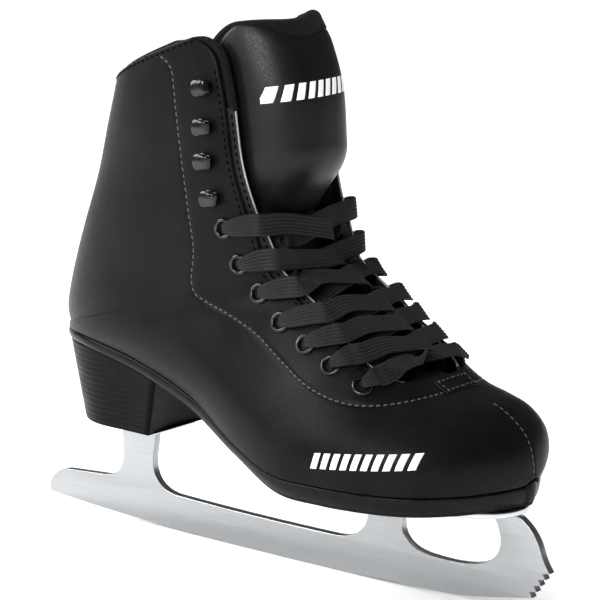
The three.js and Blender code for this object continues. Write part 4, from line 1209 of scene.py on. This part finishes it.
def through_eyelet(place, side, flip):
    """Knots down through an eyelet, folded narrow: mm towards the gap, height, face, width."""
    u, v = place
    out, centre = outward(u, v, side), bare(u, v, side)
    gapward = unit(bare(u, v + 0.01, side) - centre)
    away = -gapward
    steps = [
        (6, 2.6, out, 7.6), (2.2, 2.5, out, 5.4), (0.5, 1.6, unit(out + away), 3.6), (0, 0, away, 3.4),
        (0, -3, away, 3.4), (0.2, -6.2, unit(away - out), 3.4), (2.6, -8, -out, 4.6),
    ]
    return [[centre + gapward * a + out * h, face * flip, width] for a, h, face, width in steps]


def lace_side(start):
    """The lace from the lowest bar up to the top pair of eyelets and down inside the boot."""
    places = [locate(x, z) for x, z in EYELETS]
    side, flip = start, 1
    first = places[0][0]
    route = [
        over_gap(first, side, 0.5, 4.5), over_leather(first, side, 5, 1.6), over_leather(first, side, 0, 2),
        *through_eyelet(places[0], side, flip),
    ]
    for (u, _), (after, way) in zip(places, places[1:]):
        flip = -flip
        over = HIGH_STRAND if side > 0 else LOW_STRAND

        def mix(f):
            return u + (after - u) * f

        route += [
            over_leather(mix(0.14), side, -5, -8, flip),
            over_leather(mix(0.22), side, 1, -8, flip),
            over_leather(mix(0.29), side, 6.5, -6, flip),
            over_gap(mix(0.38), side, 0.6, 0, flip),
            over_gap(mix(0.48), side, 0.36, over - 0.8, flip),
            over_gap(mix(0.62), side, 0, over, flip),
            over_gap(mix(0.8), -side, 0.5, over + 0.4, flip),
            over_leather(mix(0.95), -side, 5, 1, flip),
            over_leather(after, -side, 0, 2, flip),
        ]
        side = -side
        route += through_eyelet((after, way), side, flip)
    top = places[-1][0]
    for below, past, depth in ((0.5, -16, 8.5), (1.6, -24, 9), (2.6, -28, 9.5), (3.4, -30, 10)):
        route.append(over_leather(top + below, side, past, -depth, -flip))
    return route


def finer(values, times):
    """A smooth curve through the rows of values, with times steps between each two."""
    padded = np.concatenate([2 * values[:1] - values[1:2], values, 2 * values[-1:] - values[-2:-1]])
    a, b, c, d = (padded[k:len(values) - 1 + k][:, None] for k in range(4))
    curve = through(a, b, c, d, (np.arange(times) / times)[None, :, None])
    return np.concatenate([curve.reshape(-1, values.shape[1]), values[-1:]])


def lace():
    """One band through both halves of the lacing; gives its knots back."""
    inner = [[p, -face, width] for p, face, width in lace_side(1)]
    route = inner[::-1] + lace_side(-1)
    rows = finer(np.array([[*p, *face, width] for p, face, width in route]), 6)
    centres, faces_out, widths = rows[:, :3], rows[:, 3:6], rows[:, 6]
    tangent = unit(np.gradient(centres, axis=0))
    up = unit(faces_out - tangent * (faces_out * tangent).sum(-1, keepdims=True))
    across = np.cross(tangent, up)
    x = np.linspace(-1, 1, 37)
    rib = 0.45 + 0.55 * np.abs(np.sin(3 * math.pi * (x + 1))) ** 0.7
    high = LACE_THICK / 2 * rib * np.sqrt(np.maximum(1 - x**8, 0.04))
    section = np.concatenate([np.stack([x, high], -1), np.stack([x[::-1], -high[::-1]], -1)])
    rings = [
        p + a * (section[:, :1] * w / 2) + b * section[:, 1:]
        for p, a, b, w in zip(centres, across, up, widths)
    ]
    piece = make("lace_band", *tube(rings), LACE, "lace", ["lace"], merge=0)
    length = run_lengths(centres)
    corner = np.zeros(len(piece.data.loops), int)
    piece.data.loops.foreach_get("vertex_index", corner)
    along, x = length[corner // len(section)], section[corner % len(section), 0]
    for name, up_map in (("weave", x * LACE_WIDTH / 2), ("ribs", x * 3 + 0.25)):
        layer_uv = piece.data.uv_layers.new(name=name)
        layer_uv.data.foreach_set("uv", np.stack([along, up_map], -1).ravel())
    return route


def aglets(route):
    """The hard tips: straight tubes crimped on both ends of the lace."""
    for end, before, label in ((route[0][0], route[1][0], "inner"), (route[-1][0], route[-2][0], "outer")):
        along = unit(end - before)
        side = unit(np.cross(along, [0, 1.0, 0]))
        rings = []
        for t in np.linspace(GAP, AGLET_LENGTH, 40):
            crimp = 0.12 * (math.exp(-((t - 4) / 0.6) ** 2) + math.exp(-((t - 6) / 0.6) ** 2))
            taper = min(1, 0.55 + (AGLET_LENGTH - t) / 1.2, 0.7 + (t - GAP) / 0.8)
            rings.append(ring(end + along * t, side, np.cross(along, side), AGLET_RADIUS * taper - crimp, 20))
        make(f"lace_tip_{label}", *tube(rings), TIP, "lace_tip", [f"aglet_{label}"])


for side, label in SIDES:
    add_fittings(side, f"ring_{label}", f"eyelet_{label}", EYELETS, eyelet_ring(), 1)
    # The inner side's hooks are turned half round, so that they too open away from the lacing.
    add_fittings(side, f"catch_{label}", f"hook_{label}", HOOKS, hook_strip(), -side * HOOK_GROWTH)
aglets(lace())

# ---- Sole, heel and footbed ----

SOLE_BOTTOM, HEEL_BOTTOM = 44.8, 51
HEEL_BACK, HEEL_BREAST, HEEL_FRONT = -109.5, -56, 10.3
HEEL_NARROWING, BREAST_HOLLOW = 0.86, 2.8
STACK_PITCH = 2.6
FOOT_BACK = 6.3  # station at the back of the sole
HEEL_REACH, TOE_REACH = 0.8, 1.4  # how far the sole stands out past the ends of the leather's edge
LIP_RISE = 2.2


def undercut(u):
    """How much narrower the tread is than the edge line: little at the heel, more at the ball."""
    return (0.8 + 2.7 * smooth(u, 11, 13)) * (1 - 0.5 * smooth(u, 18, 20))


def outline_rows(u, end_reach):
    """Stations, X of the edge line and half width, carried round both ends of the foot."""
    s = station(u)
    x, half = s[:, BACK_X], np.maximum(s[:, SEAT], 1.1)
    turn = np.linspace(0, math.pi / 2, 9)[1:]
    rows, xs, halves = [u], [x], [half]
    if end_reach[0]:
        rows.insert(0, np.full(8, u[0]))
        xs.insert(0, x[0] - end_reach[0] * np.sin(turn[::-1]))
        halves.insert(0, half[0] * np.maximum(np.cos(turn[::-1]), 0.02))
    if end_reach[1]:
        rows.append(np.full(8, u[-1]))
        xs.append(x[-1] + end_reach[1] * np.sin(turn))
        halves.append(half[-1] * np.maximum(np.cos(turn), 0.02))
    return np.concatenate(rows), np.concatenate(xs), np.concatenate(halves)


def slab(u, end_reach, heights, insets, across=7):
    """A body under the foot: heights and insets give the wall from top to bottom at each row."""
    rows, x, half = outline_rows(u, end_reach)
    s = station(rows)
    slope = np.gradient(half) / np.maximum(np.gradient(x), 1e-6)
    normal = unit(np.stack([-slope, np.ones_like(slope)], -1))
    blur = np.ones(7) / 7
    padded = np.pad(normal, ((3, 3), (0, 0)), mode="edge")
    normal = unit(np.stack([np.convolve(padded[:, k], blur, "valid") for k in range(2)], -1))
    z, off = heights(rows, s), insets(rows, s)
    spread = np.linspace(-1, 1, across)[1:-1]
    rings = []
    for k in range(len(rows)):
        wall_x = x[k] - normal[k, 0] * off[k]
        wall_y = np.maximum(half[k] - normal[k, 1] * off[k], 0.01)
        lean = s[k, BACK_Y]

        def level(i, ways):
            y = lean + ways * wall_y[i]
            return np.stack([np.full_like(y, wall_x[i]), y, np.full_like(y, z[k, i])], -1)

        outer = np.stack([wall_x, lean - wall_y, z[k]], -1)
        inner = np.stack([wall_x, lean + wall_y, z[k]], -1)[::-1]
        rings.append(np.concatenate([level(0, spread[::-1]), outer, level(-1, spread), inner]))
    return rings


def outsole():
    """The moulded unit: a bulging wall with three moulded lines, its lip raised at the toe's tip."""
    u = np.concatenate([np.linspace(FOOT_BACK, 8, 20), dense([8, 17.0], 9)[1:], np.linspace(17, TOE, 40)[1:]])
    t = np.concatenate([
        [0, 0.01, 0.03, 0.06, 0.09], np.linspace(0.12, 0.7, 10), np.linspace(0.72, 0.93, 16), [0.96, 0.98, 1],
    ])

    def heights(rows, s):
        return s[:, [BACK_Z]] - GAP - (s[:, [SOLE_THICK]] - GAP) * t

    def insets(rows, s):
        bulge = 0.75 * np.sin(math.pi * t) ** 0.7
        corners = 0.8 * (1 - rounding(t, 0.06)) + 1.0 * (1 - rounding(1 - t, 0.06))
        lines = sum(0.28 * np.exp(-(((t - at) / 0.018) ** 2)) for at in (0.77, 0.83, 0.89))
        shallow = smooth(rows, 10, 12)[:, None]
        return 0.3 + (undercut(rows)[:, None] - 0.3) * t**1.5 - bulge + corners + lines * shallow

    rings = slab(u, (HEEL_REACH, TOE_REACH), heights, insets)
    for points in rings:
        past = np.clip((points[:, 0].max() - STATIONS[-1, BACK_X]) / TOE_REACH, 0, 1)
        points[:, 2] += LIP_RISE * past * smooth(points[:, 2], 47, 53.5)
    make("sole_unit", *tube(rings), SOLE, "sole", ["outsole"])


def heel_block():
    """The stacked heel: fine lines all round, narrower below, its front face hollow."""
    u = np.concatenate([np.linspace(FOOT_BACK, 8, 22), np.linspace(8, HEEL_FRONT, 24)[1:]])
    t = np.linspace(0, 1, 110)
    rear, breast = station(np.array([FOOT_BACK, HEEL_FRONT]))[:, BACK_X]
    taper = (HEEL_BREAST - HEEL_BACK) / (breast - rear)

    def heights(rows, s):
        top = s[:, [BACK_Z]] - s[:, [SOLE_THICK]] - GAP
        return top + (HEEL_BOTTOM - top) * t

    def insets(rows, s):
        z = heights(rows, s) - HEEL_BOTTOM
        line = 0.2 * np.exp(-(((np.mod(z, STACK_PITCH) - STACK_PITCH / 2) / 0.32) ** 2))
        corners = 0.6 * (1 - rounding(1 - t, 0.02)) + 0.4 * (1 - rounding(t, 0.015))
        return undercut(rows)[:, None] + line + corners

    rings = slab(u, (HEEL_REACH, 0), heights, insets)
    full = rings[-1]
    lean = station(HEEL_FRONT)[BACK_Y]
    for f in np.linspace(0, 1, 14)[1:]:
        points = full.copy()
        points[:, 1] = lean + (points[:, 1] - lean) * max(1 - f, 0.001)
        points[:, 0] -= BREAST_HOLLOW * math.sin(f * math.pi / 2)
        rings.append(points)
    for points in rings:
        top = points[:, 2].max()
        down = (top - points[:, 2]) / (top - HEEL_BOTTOM)
        points[:, 0] += (HEEL_BREAST + (points[:, 0] - breast) * taper - points[:, 0]) * down
        points[:, 1] *= 1 - (1 - HEEL_NARROWING) * down
    make("heel_stack", *tube(rings), HEEL, "sole", ["heel_block"])


def footbed():
    """The thin board that lies in the boot on the sole."""
    u = np.concatenate([[9.0, 9.02, 9.06, 9.12, 9.2], dense([9.3, 17.2], 6), [17.3, 17.36, 17.4]])
    t = np.linspace(0, 1, 7)

    def heights(rows, s):
        return s[:, [BACK_Z]] + 6.5 - 2 * t

    def insets(rows, s):
        return 8 + 0.8 * (1 - rounding(np.minimum(t, 1 - t), 0.3)) + 0 * rows[:, None]

    make("footbed_cloth", *tube(slab(u, (2, 2), heights, insets, 12)), LINING, "lining", ["footbed"])


outsole()
heel_block()
footbed()

# ---- Blade, plates and screws ----

BLADE_THICK, PLATE, ROCKER, FLAT = 4, 2.4, 2100, 10
TOE_START, HEEL_START = 98, -141.6  # ends of the rocker
DRAG_PICK, LAST_PICK, SMALL_PICKS = (142.5, 20.5), (134.4, 8.6), 4
SOLE_SCREWS = [(50, -21), (50, 15), (84, -24), (84, 18), (108, -12), (108, 14)]
HEEL_SCREWS = [(-95, -8), (-95, 8), (-67, -9.5), (-67, 9.5)]


def trace(start, steps, count=14):
    """Points along lines (x, y) and quadratic curves (control x, y, end x, y) from start."""
    points = [start]
    for step in steps:
        if len(step) == 2:
            points.append(step)
            continue
        (x0, y0), (cx, cy, x1, y1) = points[-1], step
        for k in range(1, count + 1):
            f = k / count
            a, b, c = (1 - f) ** 2, 2 * (1 - f) * f, f * f
            points.append((a * x0 + b * cx + c * x1, a * y0 + b * cy + c * y1))
    return points


def rocker(x):
    """Height of the blade's curved edge at x; it is straight for FLAT mm either side of the middle."""
    return max(x * x - FLAT * FLAT, 0) / (2 * ROCKER)


def blade_outline():
    """Side view of the blade from its heel end over both posts to the toe picks and back."""
    heel_top, sole_top = HEEL_BOTTOM - PLATE - 2 * GAP, SOLE_BOTTOM - PLATE - 2 * GAP
    picks = []
    for x, z in np.linspace(DRAG_PICK, LAST_PICK, SMALL_PICKS + 1)[1:]:
        picks += [(x - 1.5, z + 2.3), (x, z)]
    edge = [(x, rocker(x)) for x in np.linspace(TOE_START, HEEL_START, 60)[1:-1]]
    return trace((HEEL_START, rocker(HEEL_START)), [
        (-143.5, 8, -140, 12.5), (-135.5, 17.6, -129, 18), (-104, 19.6), (-92.4, 21, -92.4, 33),
        (-93, heel_top), (-71.5, heel_top), (-72, 40, -73.4, 34), (-75, 19, -59, 17.3), (-10, 15.6, 34, 16.1),
        (48, 16.8, 51, 27), (55, sole_top), (68.5, sole_top), (69, 28), (69.5, 18, 84, 16.8),
        (121, 14, 118.5, 32), (117, 38, 114, sole_top), (127.5, sole_top), (135.5, 37, 138.2, 28.5),
        (139.8, 23.8, *DRAG_PICK), *picks, (115, 4.6, TOE_START, rocker(TOE_START)), *edge,
    ])


def extruded(name, outline, thick, bevel, to_frame, material, slot, node):
    """A flat plate with bevelled edges; to_frame turns (x, y, height) in mm into the CAD frame."""
    curve = bpy.data.curves.new(name, "CURVE")
    curve.dimensions = "2D"
    curve.fill_mode = "BOTH"
    curve.extrude = (thick / 2 - bevel) * MM
    curve.bevel_depth = bevel * MM
    curve.bevel_resolution = 2
    curve.offset = -bevel * MM
    spline = curve.splines.new("POLY")
    spline.points.add(len(outline) - 1)
    for point, (x, y) in zip(spline.points, outline):
        point.co = (x * MM, y * MM, 0, 1)
    spline.use_cyclic_u = True
    flat = bpy.data.objects.new(name + "_outline", curve)
    bpy.context.scene.collection.objects.link(flat)
    mesh = bpy.data.meshes.new_from_object(flat.evaluated_get(bpy.context.evaluated_depsgraph_get()))
    bpy.data.objects.remove(flat)
    mesh.materials.clear()
    points = np.zeros(len(mesh.vertices) * 3)
    mesh.vertices.foreach_get("co", points)
    mesh.vertices.foreach_set("co", to_frame(points.reshape(-1, 3) / MM).ravel() * MM)
    weld(mesh, 0.002)
    mesh.set_sharp_from_angle(angle=math.radians(32))
    mesh.name = name
    place(bpy.data.objects.new(name, mesh), material, slot, [node])


def add_plate(name, outline, top, node):
    """A mounting plate, its upper face GAP below the height top."""
    lift = top - GAP - PLATE / 2

    def lifted(points):
        return points + [0, 0, lift]

    extruded(name, outline, PLATE, 0.4, lifted, PLATE_STEEL, "plate_steel", node)


def add_blade():
    """The blade standing on edge, and the two plates that carry it."""
    def upright(points):
        return points[:, [0, 2, 1]]

    outline = blade_outline()
    extruded("blade_body", outline, BLADE_THICK, 0.35, upright, BLADE_STEEL, "blade_steel", "blade_runner")
    sole = trace((42, -17), [
        (43, -30, 55, -30), (72, -27, 86, -31), (97, -30, 105, -20), (127, -15, 127.5, 2),
        (126, 18, 107, 21), (97, 27, 86, 26), (72, 22, 55, 24), (43, 24, 42, 12),
    ])
    heel = trace((-61, -14), [
        (-61, 14), (-75, 14, -90, 12.5), (-104, 11, -104, 0), (-104, -11, -90, -12.5),
        (-75, -14, -61, -14),
    ])[:-1]
    add_plate("plate_front", sole, SOLE_BOTTOM, "sole_plate")
    add_plate("plate_rear", heel, HEEL_BOTTOM, "heel_plate")


def screw_shape(length):
    """A pan-head screw, head down, with a cross recess."""
    head, shank, flat, count = 3.3, 2.0, 2.5, 64
    rings = []
    for r in [*np.linspace(0.02, 2.4, 16), *np.linspace(flat, head, 7)]:
        dome = -1.0 + 0.15 * (r / head) ** 2 + 0.5 * max(0, (r - flat) / (head - flat)) ** 3
        points = flat_ring(r, dome, count)
        off_cross = smooth(np.abs(points[:, :2]).min(1), 0.35, 0.55)
        points[:, 2] += 0.7 * (1 - off_cross) * (1 - smooth(r, 1.7, 2.0))
        rings.append(points)
    below = ((head, -0.2), (head - 0.1, 0), (shank, 0), (shank, length - 1), (0.02, length))
    return tube(rings + [flat_ring(r, z, count) for r, z in below])


def add_screws(label, places, length, face):
    """The screws of one plate, each in from below."""
    points, faces = screw_shape(length)
    for i, (x, y) in enumerate(places):
        mesh = points + [x, y, face - PLATE - 2 * GAP]
        name, replaced = f"{label}_fixing_{i + 1}", [f"{label}_screw_{i + 1}"]
        piece = make(name, mesh, faces, PLATE_STEEL, "plate_steel", replaced)
        piece.data.set_sharp_from_angle(angle=math.radians(40))


add_blade()
add_screws("sole", SOLE_SCREWS, 8.5, SOLE_BOTTOM)
add_screws("heel", HEEL_SCREWS, 14, HEEL_BOTTOM)

# ---- CAD pieces kept as they are, with their own materials ----

KEPT = {
    "heel_counter": STIFFENER, "toe_puff": STIFFENER, "insole_board": BOARD, "sole_filler": BOARD,
    "shank": PLATE_STEEL,
}
for name, material in KEPT.items():
    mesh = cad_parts[name].data
    mesh.materials.clear()
    mesh.materials.append(material)
